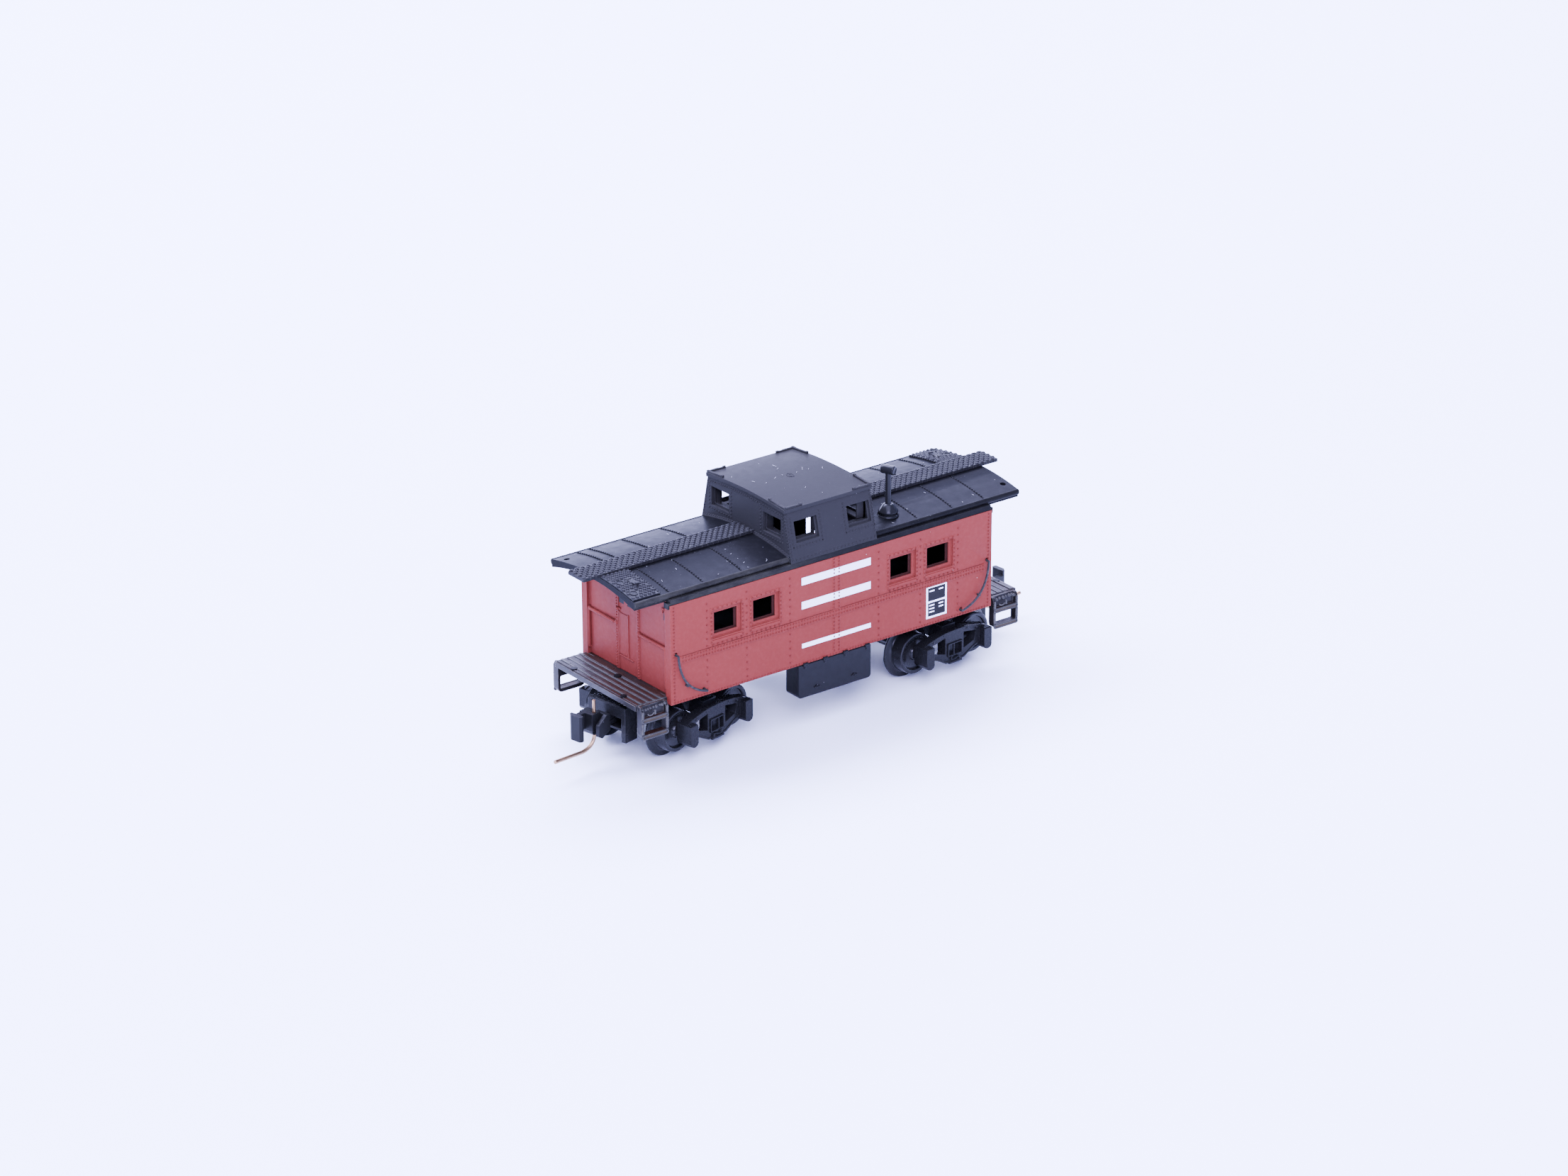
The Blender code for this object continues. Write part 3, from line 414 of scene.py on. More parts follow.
class Shapes:
    """Vertices and faces in millimetres, gathered into one mesh."""

    def __init__(self):
        self.verts = []
        self.faces = []

    def skin(self, points, sides, tip=None):
        """Rings of points joined up and closed by two flat ends, or by one and a tip."""
        last = len(points) - sides
        faces = [tuple(range(sides))[::-1]]
        for start in range(0, last, sides):
            for step in range(sides):
                a, b = start + step, start + (step + 1) % sides
                faces.append((a, b, b + sides, a + sides))
        if tip is None:
            faces.append(tuple(range(last, last + sides)))
        else:
            faces += [(last + i, last + (i + 1) % sides, last + sides) for i in range(sides)]
            points = [*points, tip]
        first = len(self.verts)
        self.verts += points
        self.faces += [tuple(first + i for i in face) for face in faces]

    def prism(self, outline, shift):
        """A closed outline of points swept along one vector."""
        base = [Vector(p) for p in outline]
        self.skin(base + [p + Vector(shift) for p in base], len(base))

    def block(self, x0, x1, y0, y1, z0, z1):
        """A box; the two limits on an axis may come in either order."""
        self.prism([(x0, y0, z0), (x1, y0, z0), (x1, y1, z0), (x0, y1, z0)], (0, 0, z1 - z0))

    def sweep(self, section, stations, height):
        """A closed section of (x, rise) points swept along y over a curved surface."""
        for y0, y1 in zip(stations, stations[1:]):
            outline = [(x, y0, height(y0) + rise) for x, rise in section]
            self.prism(outline, (0, y1 - y0, height(y1) - height(y0)))

    def dome(self, centre, normal, radius, height, sides=6):
        """A low round rivet head on a surface."""
        normal = Vector(normal).normalized()
        side, other = square_to(normal)
        points = []
        for part, lift in ((1.0, -0.02), (0.94, 0.55), (0.55, 0.92)):
            middle = Vector(centre) + normal * height * lift
            points += ring(middle, side * radius * part, other * radius * part, sides, 180 / sides)
        self.skin(points, sides, Vector(centre) + normal * height)

    def row(self, start, end, pitch, normal, radius=0.09, height=0.085):
        """Rivets evenly spaced from one point to another."""
        count = max(1, round((Vector(end) - Vector(start)).length / pitch))
        for spot in line(start, end, count):
            self.dome(spot, normal, radius, height)

    def tube(self, path, radius, sides=10, squash=None):
        """A round wire along a path; squash maps a path position to two radius factors."""
        path = [Vector(p) for p in path]
        guide = (path[1] - path[0]).orthogonal()
        points = []
        for index, point in enumerate(path):
            along = path[min(index + 1, len(path) - 1)] - path[max(index - 1, 0)]
            along.normalize()
            guide = (guide - along * guide.dot(along)).normalized()
            wide, thin = squash(index / (len(path) - 1)) if squash else (1.0, 1.0)
            points += ring(point, guide * wide * radius, along.cross(guide) * thin * radius, sides)
        self.skin(points, sides)

    def spin(self, profile, centre, axis, sides=48):
        """A closed turned shape from (radius, distance along the axis) pairs."""
        axis = Vector(axis).normalized()
        side, other = square_to(axis)
        points = []
        for radius, along in profile:
            points += ring(Vector(centre) + axis * along, side * radius, other * radius, sides)
        self.skin(points, sides)

    def piece(self, name, slot, material, bevel=0.0, smooth_angle=35.0, segments=2, body="car"):
        mesh = bpy.data.meshes.new(name)
        mesh.from_pydata([v * MM for v in self.verts], [], self.faces)
        return finish_mesh(mesh, name, body, material, bevel, smooth_angle, segments)

    def truck_piece(self, where, name, slot, material, bevel, smooth_angle, body):
        """A piece whose points are given in its truck's own frame."""
        self.verts = [where @ v for v in self.verts]
        return self.piece(name, slot, material, bevel, smooth_angle, body=body)


def finish_mesh(mesh, name, body, material, bevel, smooth_angle, segments=2):
    bm = bmesh.new()
    bm.from_mesh(mesh)
    bmesh.ops.recalc_face_normals(bm, faces=bm.faces)
    bm.to_mesh(mesh)
    bm.free()
    for face in mesh.polygons:
        face.use_smooth = True
    mesh.set_sharp_from_angle(angle=math.radians(smooth_angle))
    made = bpy.data.objects.new(name, mesh)
    bpy.context.scene.collection.objects.link(made)
    mesh.materials.clear()
    mesh.materials.append(material)
    if bevel:
        rounding = made.modifiers.new("Rounding", "BEVEL")
        rounding.width = bevel * MM
        rounding.segments = segments
        rounding.limit_method = "ANGLE"
        rounding.angle_limit = math.radians(BEVEL_ANGLE)
        rounding.use_clamp_overlap = True
        rounding.harden_normals = True
    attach(made, body)
    return made


def softened(node, name, material, bevel, rounds=()):
    """A copy of a CAD node with its flats joined up and its edges rounded.

    `rounds` holds (test on an edge's two ends in mm, width, segments) for corners
    that are rounder than the rest."""
    source = NODES[node]
    mesh = source.data.copy()
    bm = bmesh.new()
    bm.from_mesh(mesh)
    bmesh.ops.remove_doubles(bm, verts=bm.verts, dist=1e-7)
    flat = math.radians(0.6)
    bmesh.ops.dissolve_limit(bm, angle_limit=flat, verts=bm.verts, edges=bm.edges)
    for chosen, width, segments in rounds:
        edges = [e for e in bm.edges if chosen(e.verts[0].co / MM, e.verts[1].co / MM)]
        bmesh.ops.bevel(
            bm, geom=edges, offset=width * MM, segments=segments, profile=0.5,
            affect="EDGES", clamp_overlap=True,
        )
    bm.to_mesh(mesh)
    bm.free()
    made = finish_mesh(mesh, name, source["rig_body"], material, bevel, 24.0)
    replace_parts(made, node)


def along_y(a, b):
    """Whether an edge's two ends lie on one line along y."""
    return abs(a.y - b.y) > 0.3 and abs(a.x - b.x) < 0.01 and abs(a.z - b.z) < 0.01


def repaint(node, material):
    """Give a CAD node that keeps its shape a better material."""
    for place in NODES[node].material_slots:
        place.material = material


def low(node):
    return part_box(node)[0] / MM


def high(node):
    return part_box(node)[1] / MM


def both(values):
    """Each value and its mirror image."""
    return [sign * value for value in values for sign in (-1, 1)]


# ---------------------------------------------------------------- planes of the car

SIDE = high("body_shell").y - 0.07
SHELL_END = high("body_shell").x - 0.30
CORNER = SHELL_END + 0.28
SILL = low("body_shell").z
INSIDE_X = SHELL_END - 0.50
ROOF_END = high("roof").x
ROOF_CROWN = high("roof").z
ROOF_FALL = 0.0177
ROOF_RIM = 6.30
BOARD_PITCH = 0.60
BOARD_INNER = 4.83
BOARD_OUTER = 23.20
HOLE_CLEAR = 0.48
WALK_HOLES = ((20.72, 5.10), (20.70, 3.08))
CUPOLA_ROOF_CROWN = 21.08
CUPOLA_ROOF_FALL = 0.0093
CUPOLA_FOOT = low("cupola").z
CUPOLA_FOOT_Y = 6.70
CUPOLA_SLOPE = (CUPOLA_FOOT_Y - 5.66) / (20.42 - CUPOLA_FOOT)
CUPOLA_END = 4.78
CUPOLA_WINDOWS = ((-3.93, -1.38), (1.92, 4.45))
CUPOLA_WINDOW_Z = (17.62, 19.54)
CUPOLA_END_WINDOW = (2.52, 5.12)
CUPOLA_END_WINDOW_Z = (17.86, 19.66)
WINDOWS = ((-13.16, -10.66), (-8.88, -6.47), (6.47, 8.88), (10.66, 13.16))
WINDOW_Z = (11.45, 13.48)
LAP_RISE = 0.03
BELT_RISE = 0.075
DECK_TOP = high("underframe").z
DECK_HALF = 6.08
PLANK_RIDGES = (18.0, 18.75, 19.42, 20.10, 20.82, 21.42)
STEP_FACE = 6.74
STEP_X = (18.36, 21.22)
TREADS = (3.75, 5.31)
RAIL_FACE = 7.06


def roof_z(y):
    return ROOF_CROWN - ROOF_FALL * y * y


def roof_normal(y):
    return Vector((0, 2 * ROOF_FALL * y, 1)).normalized()


# ---------------------------------------------------------------- body


def side_rivets(sign):
    made = Shapes()
    wall, lap, belt = [sign * (SIDE + rise) for rise in (0.0, LAP_RISE, BELT_RISE)]
    out = (0, sign, 0)

    def column(x, y, z0, z1, pitch):
        made.row((x, y, z0), (x, y, z1), pitch, out)

    for x in both((17.64,)):
        column(x, wall, 6.42, 15.15, 0.335)
    for x in both((14.08, 9.75, 4.98)):
        column(x, wall, 6.55, 9.28, 0.68)
        column(x, wall, 10.61, 14.63, 0.67)
    for x in (-0.09, 0.46):
        column(x, lap, 6.42, 9.55, 0.33)
        column(x, lap, 10.60, 15.25, 0.33)
    for z in (10.25, 9.90):
        made.row((-16.75, belt, z), (16.95, belt, z), 0.319, out)
    made.row((-17.60, wall, SILL + 0.13), (17.60, wall, SILL + 0.13), 0.318, out, 0.10, 0.09)
    z0, z1 = WINDOW_Z
    for left, right in WINDOWS:
        for z in (z1 + 0.46, z0 - 0.89):
            made.row((left - 0.26, lap, z), (right + 0.30, lap, z), 0.48, out)
        for x in (left - 0.45, right + 0.46):
            column(x, lap, z0 - 0.62, z1 + 0.12, 0.37)
    return made


def side_trim(sign):
    """Belt strip, lap seam, and the surrounds and ledges of the windows."""
    made = Shapes()
    inner, lap, ledge, belt = [sign * (SIDE + rise) for rise in (-0.05, LAP_RISE, 0.07, BELT_RISE)]
    made.block(-17.10, 17.25, inner, belt, 9.73, 10.40)
    made.block(-0.22, 0.60, inner, lap, SILL + 0.02, 15.36)
    z0, z1 = WINDOW_Z
    near, far = 0.345, 0.56
    for left, right in WINDOWS:
        made.block(left - far, right + far, inner, lap, z1 + near, z1 + 0.60)
        for x0, x1 in ((left - far, left - near), (right + near, right + far)):
            made.block(x0, x1, inner, lap, z0 - 0.76, z1 + near + 0.01)
        made.block(left - near - 0.02, right + near + 0.02, inner, ledge, z0 - 0.72, z0 - 0.48)
    return made


def window_sashes():
    """Thin sash frames set back inside the side windows."""
    made = Shapes()
    wide = 0.11
    z0, z1 = WINDOW_Z
    for sign in (-1, 1):
        post = sign * (SIDE - 0.66), sign * (SIDE - 0.50)
        rail = sign * (SIDE - 0.65), sign * (SIDE - 0.51)
        for left, right in WINDOWS:
            for x0, x1 in ((left - 0.01, left + wide), (right - wide, right + 0.01)):
                made.block(x0, x1, *post, z0 - 0.01, z1 + 0.01)
            for low_z, high_z in ((z0 - 0.01, z0 + wide), (z1 - wide, z1 + 0.01)):
                made.block(left + 0.1, right - 0.1, *rail, low_z, high_z)
    return made


def end_trim(end):
    """Door panels, corner strips, latch and rivets of one end wall."""
    made = Shapes()
    x = end * SHELL_END
    out = (end, 0, 0)

    def slab(inner, outer, *limits):
        made.block(x + end * inner, x + end * outer, *limits)

    for y in both((1.62,)):
        made.row((x + end * 0.10, y, 6.95), (x + end * 0.10, y, 15.0), 0.268, out, 0.085, 0.08)
    for y in both((6.02,)):
        made.row((x, y, 7.2), (x, y, 15.0), 0.27, out, 0.07, 0.05)
    for y in both((6.32,)):
        slab(-0.05, 0.10, y - 0.09, y + 0.09, 6.8, 15.2)
    slab(-0.03, 0.05, -0.04, 1.28, 8.22, 12.15)
    for y in (-0.05, 1.29):
        slab(-0.03, 0.09, y - 0.05, y + 0.05, 8.15, 12.25)
    slab(-0.03, 0.09, -0.78, 1.30, 8.02, 8.12)
    slab(-0.10, 0.055, 0.03, 0.55, 13.05, 15.02)
    slab(-0.03, 0.09, 1.05, 1.50, 12.42, 12.58)
    made.dome((x + end * 0.03, 1.42, 12.52), out, 0.17, 0.26, 10)
    for y in both((1.66, 5.78)):
        made.dome((x + end * 0.02, y, 11.05), out, 0.24, 0.22, 10)
    return made


def door_window_shade(end):
    """Painted shade: two near-black blocks for the dark door windows at the top of an end door."""
    made = Shapes()
    for y0, y1 in ((0.54, 1.28), (-0.70, 0.04)):
        made.block(end * (SHELL_END - 0.03), end * (SHELL_END + 0.035), y0, y1, 13.10, 14.98)
    return made


def lamp_grab_shadow():
    """Painted shadow: near-black blocks in the hollows inside the lamp grabs."""
    made = Shapes()
    for end in (-1, 1):
        limits = end * (SHELL_END - 0.02), end * (SHELL_END + 0.025)
        made.block(*limits, -5.70, -5.38, 13.62, 14.62)
    return made


def lamp_grabs():
    """A small hoop near the top of each end wall, on the jack's side."""
    made = Shapes()
    for end in (-1, 1):
        x = end * (SHELL_END + 0.10)
        hoop = arc((x + end * 0.06, -5.55, 14.62), (0, 0.24, 0), (0, 0, 0.18), 0, 180, 12)
        made.tube([*hoop, (x, -5.79, 14.2), (x, -5.79, 13.56)], 0.11, 10)
        made.tube([(x, -5.31, 14.62), (x, -5.31, 14.30)], 0.09, 8)
    return made


def build_body(red, rivet_shaded_red, dark):
    softened("body_shell", "body_walls", red, 0.05)
    for name, sign in SIDES:
        side_rivets(sign).piece(f"rivets_{name}", "body_shell", rivet_shaded_red, 0, 60)
        side_trim(sign).piece(f"trim_{name}", "body_shell", red, 0.02)
    window_sashes().piece("window_sashes", "body_shell", red, 0.02)
    for name, end in ENDS:
        end_trim(end).piece(f"end_trim_{name}", "body_shell", red, 0.025)
        door_window_shade(end).piece(f"door_window_shade_{name}", "body_shell", dark)
    lamp_grabs().piece("lamp_grabs", "body_shell", red, 0, 60)
    lamp_grab_shadow().piece("lamp_grab_shadow", "body_shell", dark)


def plain_markings(white, black):
    """Generic markings with no letters: plain stripes and a data plate of plain bars."""
    for name, sign in SIDES:
        rises = (-0.02, 0.055, 0.018, 0.01, 0.032, 0.026)
        inner, stripe, border, foot, bar, pane = [sign * (SIDE + rise) for rise in rises]
        stripes = Shapes()
        for x0, x1, z0, z1 in (
            (-3.70, 4.02, 13.66, 14.36), (-3.70, 4.02, 11.36, 12.06), (-3.68, 4.04, 7.60, 8.02),
        ):
            stripes.block(x0, x1, inner, stripe, z0, z1)
        stripes.piece(f"plain_stripes_{name}", "body_shell", white)
        left, right = sorted((-sign * 10.44, -sign * 12.81))
        plate = Shapes()
        plate.block(left, right, inner, border, 6.64, 9.78)
        for z in (9.22, 7.82, 7.50, 7.18):
            plate.block(left + 0.34, left + 0.92, foot, bar, z, z + 0.13)
        for z in (9.22, 7.82, 7.50):
            plate.block(right - 0.94, right - 0.42, foot, bar, z, z + 0.13)
        plate.piece(f"data_border_{name}", "body_shell", white)
        panes = Shapes()
        for z0, z1 in ((8.32, 9.59), (6.84, 8.13)):
            panes.block(left + 0.20, right - 0.20, inner, pane, z0, z1)
        panes.piece(f"data_panes_{name}", "body_shell", black)


# ---------------------------------------------------------------- roof and running boards


def seam(made, x, sign):
    """A raised joint in the roof sheets, with a rivet line along it."""
    section = [(x - 0.07, -0.03), (x + 0.07, -0.03), (x + 0.045, 0.045), (x - 0.045, 0.045)]
    made.sweep(section, spread(sign * 1.30, sign * 6.05, 16), roof_z)
    for y in every(1.50, 6.05, 0.33):
        made.dome((x, sign * y, roof_z(y) + 0.03), roof_normal(sign * y), 0.085, 0.075)


def roof_details():
    made = Shapes()
    for x in (-17.68, -14.02, -9.85, 9.81, 13.87, 17.51):
        seam(made, x, -1)
    for x in (-18.9, -17.6, -14.08, -9.84, 13.87, 17.32, 18.66):
        seam(made, x, 1)
    return made


def eave_beads():
    """Rounded edge beads along both eaves and the short brackets under them."""
    made = Shapes()
    for sign in (-1, 1):
        centre = (0.02 - ROOF_END, sign * (ROOF_RIM - 0.06), roof_z(ROOF_RIM) - 0.21)
        outline = arc(centre, (0, sign * 0.19, 0), (0, 0, 0.27), -90, 90, 9)
        made.prism(outline, (2 * ROOF_END - 0.04, 0, 0))
    for end, sign in QUARTERS:
        x = end * (CORNER - 0.35)
        made.block(x, x + end * 0.5, sign * 6.0, sign * 6.62, 15.10, 15.62)
    return made


def bumps(made, x0, x1, y0, y1, pitch, lift, holes=()):
    """Staggered raised lozenges over a patch, clear of holes, on a height given by `lift`."""
    along, across = pitch
    rows = max(1, round((y1 - y0) / across))
    columns = max(1, round((x1 - x0) / along))
    for row in range(rows):
        y = y0 + (row + 0.5) * (y1 - y0) / rows
        shift = 0.75 if row % 2 else 0.25
        for column in range(columns):
            x = x0 + (column + shift) * (x1 - x0) / columns
            if all(math.dist((x, y), hole) > HOLE_CLEAR for hole in holes):
                lozenge(made, x, y, *lift(y), pitch)


def lozenge(made, x, y, z, normal, pitch):
    along = Vector((pitch[0] * 0.43, 0, 0))
    across = Vector((0, normal.z, -normal.y)) * pitch[1] * 0.66
    points = []
    for long, wide, rise in ((1.0, 1.0, -0.03), (0.80, 0.78, 0.085), (0.40, 0.38, 0.15)):
        points += ring(Vector((x, y, z)) + normal * rise, along * long, across * wide, 6)
    made.skin(points, 6)


def running_board(end, top):
    """The long walk with its toothed sides and staggered treads."""
    made = Shapes()
    half = 1.23
    x0, x1 = sorted((end * BOARD_INNER, end * BOARD_OUTER))
    made.block(x0, x1, 0.07 - half, half - 0.07, low("roof").z + 2.36, top)
    for step in range(round((BOARD_OUTER - BOARD_INNER) / BOARD_PITCH)):
        x = end * (BOARD_OUTER - (step + 0.5) * BOARD_PITCH)
        for sign in (-1, 1):
            made.block(x - 0.17, x + 0.17, sign * (half - 0.14), sign * half, 17.23, top + 0.06)
    patch = x0 + 0.05, x1 - 0.05, 0.04 - half, half - 0.04
    bumps(made, *patch, (BOARD_PITCH, 0.34), lambda y: (top, Vector((0, 0, 1))))
    return made


def cross_walk(end):
    """The walk across one end of the roof, with its treads, bracket and rivets."""
    made = Shapes()
    x0, x1 = sorted((end * 18.70, end * (ROOF_END - 0.05)))
    section = [(x0, 0.03), (x1, 0.03), (x1, 0.14), (x0, 0.14)]
    made.sweep(section, spread(0.0, end * 6.0, 12), roof_z)
    y0, y1 = sorted((end * 1.25, end * 5.95))
    holes = [(end * x, end * y) for x, y in WALK_HOLES]

    def lift(y):
        return roof_z(y) + 0.125, roof_normal(y)

    bumps(made, x0 + 0.05, x1 - 0.05, y0, y1, (0.46, 0.36), lift, holes)
    y = end * 3.6
    z = roof_z(y)
    x0, x1 = sorted((end * 19.45, end * 19.95))
    made.block(x0, x1, y - 0.62, y + 0.62, z, z + 0.30)
    made.block(x0 + 0.08, x1 - 0.08, y - 0.75, y - 0.50, z, z + 0.40)
    made.block(x0 + 0.08, x1 - 0.08, y + 0.50, y + 0.75, z - 0.05, z + 0.38)
    for y in every(1.35, 6.0, 0.33):
        z, normal = roof_z(y), roof_normal(end * y)
        made.dome((end * 18.62, end * y, z + 0.05), normal, 0.12, 0.15)
        made.dome((end * 21.22, end * y, z + 0.12), normal, 0.10, 0.08)
    return made


def walk_sockets(rise):
    """The centre and normal of each socket in the cross walks, raised off the roof."""
    for end in (-1, 1):
        for x, y in WALK_HOLES:
            normal = roof_normal(end * y)
            yield Vector((end * x, end * y, roof_z(y))) + normal * rise, normal


def walk_socket_shade_discs():
    """Painted shade: near-black discs in the blind sockets of the absent end railings, in the cross
    walks.
    """
    made = Shapes()
    for centre, normal in walk_sockets(0.10):
        made.spin([(0.30, 0.0), (0.30, 0.055), (0.27, 0.062)], centre, normal, 20)
    return made


def hole_rims():
    """Thin raised rims round the sockets in the cross walks."""
    made = Shapes()
    for centre, normal in walk_sockets(0.165):
        side, other = square_to(normal)
        made.tube(arc(centre, side * 0.33, other * 0.33, 0, 360, 20), 0.055, 6)
    return made


def build_roof(roof, board, dark):
    softened("roof", "roof_sheet", roof, 0.06)
    roof_details().piece("roof_seams", "roof", roof, 0, 50)
    eave_beads().piece("eave_beads", "roof", roof, 0, 50)
    for name, end in ENDS:
        node = f"running_board_{name}"
        walk = running_board(end, high(node).z - 0.15)
        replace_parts(walk.piece(f"long_walk_{name}", "running_board", board, 0, 30), node)
        cross_walk(end).piece(f"cross_walk_{name}", "running_board", board, 0, 30)
    walk_socket_shade_discs().piece("walk_socket_shade", "running_board", dark, 0, 40)
    hole_rims().piece("walk_hole_rims", "running_board", board, 0, 60)


# ---------------------------------------------------------------- cupola and smoke jack


def cupola_lean(z):
    """Half width of the cupola's outer wall at a height."""
    return CUPOLA_FOOT_Y - CUPOLA_SLOPE * (z - CUPOLA_FOOT)


def cupola_rivets():
    made = Shapes()
    small = 0.075, 0.065

    def side_line(x0, z0, x1, z1, pitch, sign):
        count = max(1, round(math.hypot(x1 - x0, z1 - z0) / pitch))
        for x, z in zip(spread(x0, x1, count), spread(z0, z1, count)):
            made.dome((x, sign * cupola_lean(z), z), (0, sign, CUPOLA_SLOPE), *small)

    z0, z1 = CUPOLA_WINDOW_Z[0] - 0.34, CUPOLA_WINDOW_Z[1] + 0.3
    for sign in (-1, 1):
        for x in both((CUPOLA_END - 0.14,)):
            side_line(x, 16.3, x, 20.25, 0.30, sign)
        side_line(0.2 - CUPOLA_END, 16.18, CUPOLA_END - 0.2, 16.18, 0.42, sign)
        for x0, x1 in CUPOLA_WINDOWS:
            left, right = x0 - 0.36, x1 + 0.30
            side_line(left, z0, left, z1, 0.33, sign)
            side_line(right, z0, right, z1, 0.33, sign)
            side_line(left, z0, right, z0, 0.36, sign)
    for end in (-1, 1):
        x = end * CUPOLA_END
        out = (end, 0, 0)
        for sign in (-1, 1):
            for y0, z0, y1, z1, pitch in (
                (6.44, 16.4, 5.62, 20.1, 0.30),
                (2.18, 17.6, 2.18, 19.9, 0.33),
                (5.42, 17.6, 5.42, 19.9, 0.33),
                (2.18, 17.55, 5.42, 17.55, 0.36),
            ):
                made.row((x, sign * y0, z0), (x, sign * y1, z1), pitch, out, *small)
            for y in every(1.35, 6.45, 0.315):
                made.dome((x, sign * y, roof_z(y) + 0.19), out, 0.085, 0.075)
        for y in every(-5.3, 5.4, 0.30):
            made.dome((x, y, cupola_crown(y) - 0.72), out, 0.075, 0.06)
    return made


def cupola_trim():
    """Thin sashes in the windows and the flashing round the foot."""
    made = Shapes()
    z0, z1 = CUPOLA_WINDOW_Z[0] - 0.02, CUPOLA_WINDOW_Z[1] + 0.02
    for sign in (-1, 1):
        for x0, x1 in CUPOLA_WINDOWS:
            for left, right, foot, head in (
                (x0 - 0.01, x0 + 0.17, z0, z1),
                (x1 - 0.17, x1 + 0.01, z0, z1),
                (x0 + 0.1, x1 - 0.1, z0, z0 + 0.22),
                (x0 + 0.1, x1 - 0.1, z1 - 0.17, z1),
            ):
                corners = [(left, foot), (right, foot), (right, head), (left, head)]
                outline = [(x, sign * (cupola_lean(z) - 0.40), z) for x, z in corners]
                made.prism(outline, (0, sign * 0.14, 0))
    z0 = CUPOLA_END_WINDOW_Z[0] - 0.02
    z1 = CUPOLA_END_WINDOW_Z[1] + 0.02
    for end in (-1, 1):
        depth = end * (CUPOLA_END - 0.40), end * (CUPOLA_END - 0.26)
        for sign in (-1, 1):
            for y0, y1, top in ((2.50, 2.67, z1), (4.97, 5.14, z1), (2.60, 5.04, z0 + 0.20)):
                made.block(*depth, sign * y0, sign * y1, z0, top)
        inner, outer = end * 4.76, end * 4.90
        flashing = [(inner, -0.04), (outer, -0.04), (outer, 0.04), (inner, 0.28)]
        made.sweep(flashing, spread(-6.35, 6.35, 20), roof_z)
    return made


def cupola_liners():
    """Deep inner reveals behind the cupola's windows."""
    made = Shapes()
    rim = 0.14

    def sleeve(spans, first, second, z0, z1):
        for a, b, c, d in (
            (first - rim, first, z0 - rim, z1 + rim),
            (second, second + rim, z0 - rim, z1 + rim),
            (first, second, z0 - rim, z0),
            (first, second, z1, z1 + rim),
        ):
            made.block(*spans(a, b), c, d)

    for sign in (-1, 1):
        for x0, x1 in CUPOLA_WINDOWS:
            sleeve(lambda a, b: (a, b, sign * 4.95, sign * 5.42), x0, x1, *CUPOLA_WINDOW_Z)
        y0, y1 = sorted(sign * y for y in CUPOLA_END_WINDOW)
        for end in (-1, 1):
            sleeve(lambda a, b: (end * 3.60, end * 4.32, a, b), y0, y1, *CUPOLA_END_WINDOW_Z)
    return made


def cupola_crown(y):
    return CUPOLA_ROOF_CROWN - CUPOLA_ROOF_FALL * y * y


def corner_strips():
    """The raised strips round the corners of the cupola roof."""
    made = Shapes()
    eave, shoulder = cupola_crown(5.7), cupola_crown(3.5)
    for end, sign in QUARTERS:
        y0, y1 = sign * 5.52, sign * 5.71
        made.block(end * 3.10, end * 4.84, y0, y1, eave - 0.08, eave + 0.15)
        made.block(end * 2.84, end * 3.14, y0, y1, eave - 0.08, eave + 0.21)
        x0, x1 = end * 4.62, end * 4.84
        section = [(x0, -0.05), (x1, -0.05), (x1, 0.17), (x0, 0.17)]
        made.sweep(section, spread(sign * 3.55, sign * 5.69, 8), cupola_crown)
        made.block(x0, x1, sign * 3.36, sign * 3.62, shoulder - 0.05, shoulder + 0.23)
    return made


def vent_mark():
    """A faint oval ring with two nubs, moulded on the middle of the cupola roof."""
    made = Shapes()
    oval = arc((0.18, 0, 0), (0.30, 0, 0), (0, 0.42, 0), 0, 360, 24)
    made.tube([(p.x, p.y, cupola_crown(p.y) + 0.005) for p in oval], 0.028, 6)
    for x, y, radius, height in ((0.10, -0.22, 0.11, 0.07), (0.28, 0.20, 0.08, 0.06)):
        made.dome((x, y, cupola_crown(0) - 0.01), (0, 0, 1), radius, height, 8)
    return made


def build_cupola(paint):
    softened("cupola", "cupola_shell", paint, 0.05)
    cupola_rivets().piece("cupola_rivets", "cupola", paint, 0, 60)
    cupola_trim().piece("cupola_trim", "cupola", paint, 0.02)
    corner_strips().piece("cupola_corner_strips", "cupola", paint, 0.03)
    cupola_liners().piece("cupola_liners", "cupola", paint, 0.02)
    vent_mark().piece("cupola_vent_mark", "cupola", paint, 0, 60)


def build_smoke_jack(gloss):
    made = Shapes()
    top = high("smoke_jack")
    x, y, _ = (low("smoke_jack") + top) / 2
    head = top.z - 0.44
    stem = [(0.30, head - 0.1), (0.275, head - 0.5), (0.27, 18.0), (0.30, 17.90), (0.42, 17.86)]
    cone = [(0.50, 17.80), (0.88, 17.28), (0.92, 17.20), (0.905, 17.14), (0.86, 17.10)]
    foot = [(0.86, 16.86), (0.92, 16.82), (0.93, 16.74), (0.92, 16.66), (0.88, 16.63)]
    foot += [(0.38, 16.62), (0.36, 16.14)]
    made.spin(stem + cone + foot, (x, y, 0), (0, 0, 1), 40)
    half = 0.67
    lip = [(0.26, half), (0.36, half - 0.015), (0.405, half - 0.06), (0.42, half - 0.14)]
    barrel = [(radius, -along) for radius, along in lip]
    barrel += [(0.415, -0.2), (0.41, 0.2), *lip[::-1]]
    made.spin(barrel, (x, y, head), (0.42, -0.90, 0), 32)
    jack = made.piece("smoke_jack_turned", "smoke_jack", gloss, 0, 50)
    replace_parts(jack, "smoke_jack")


# ---------------------------------------------------------------- underframe


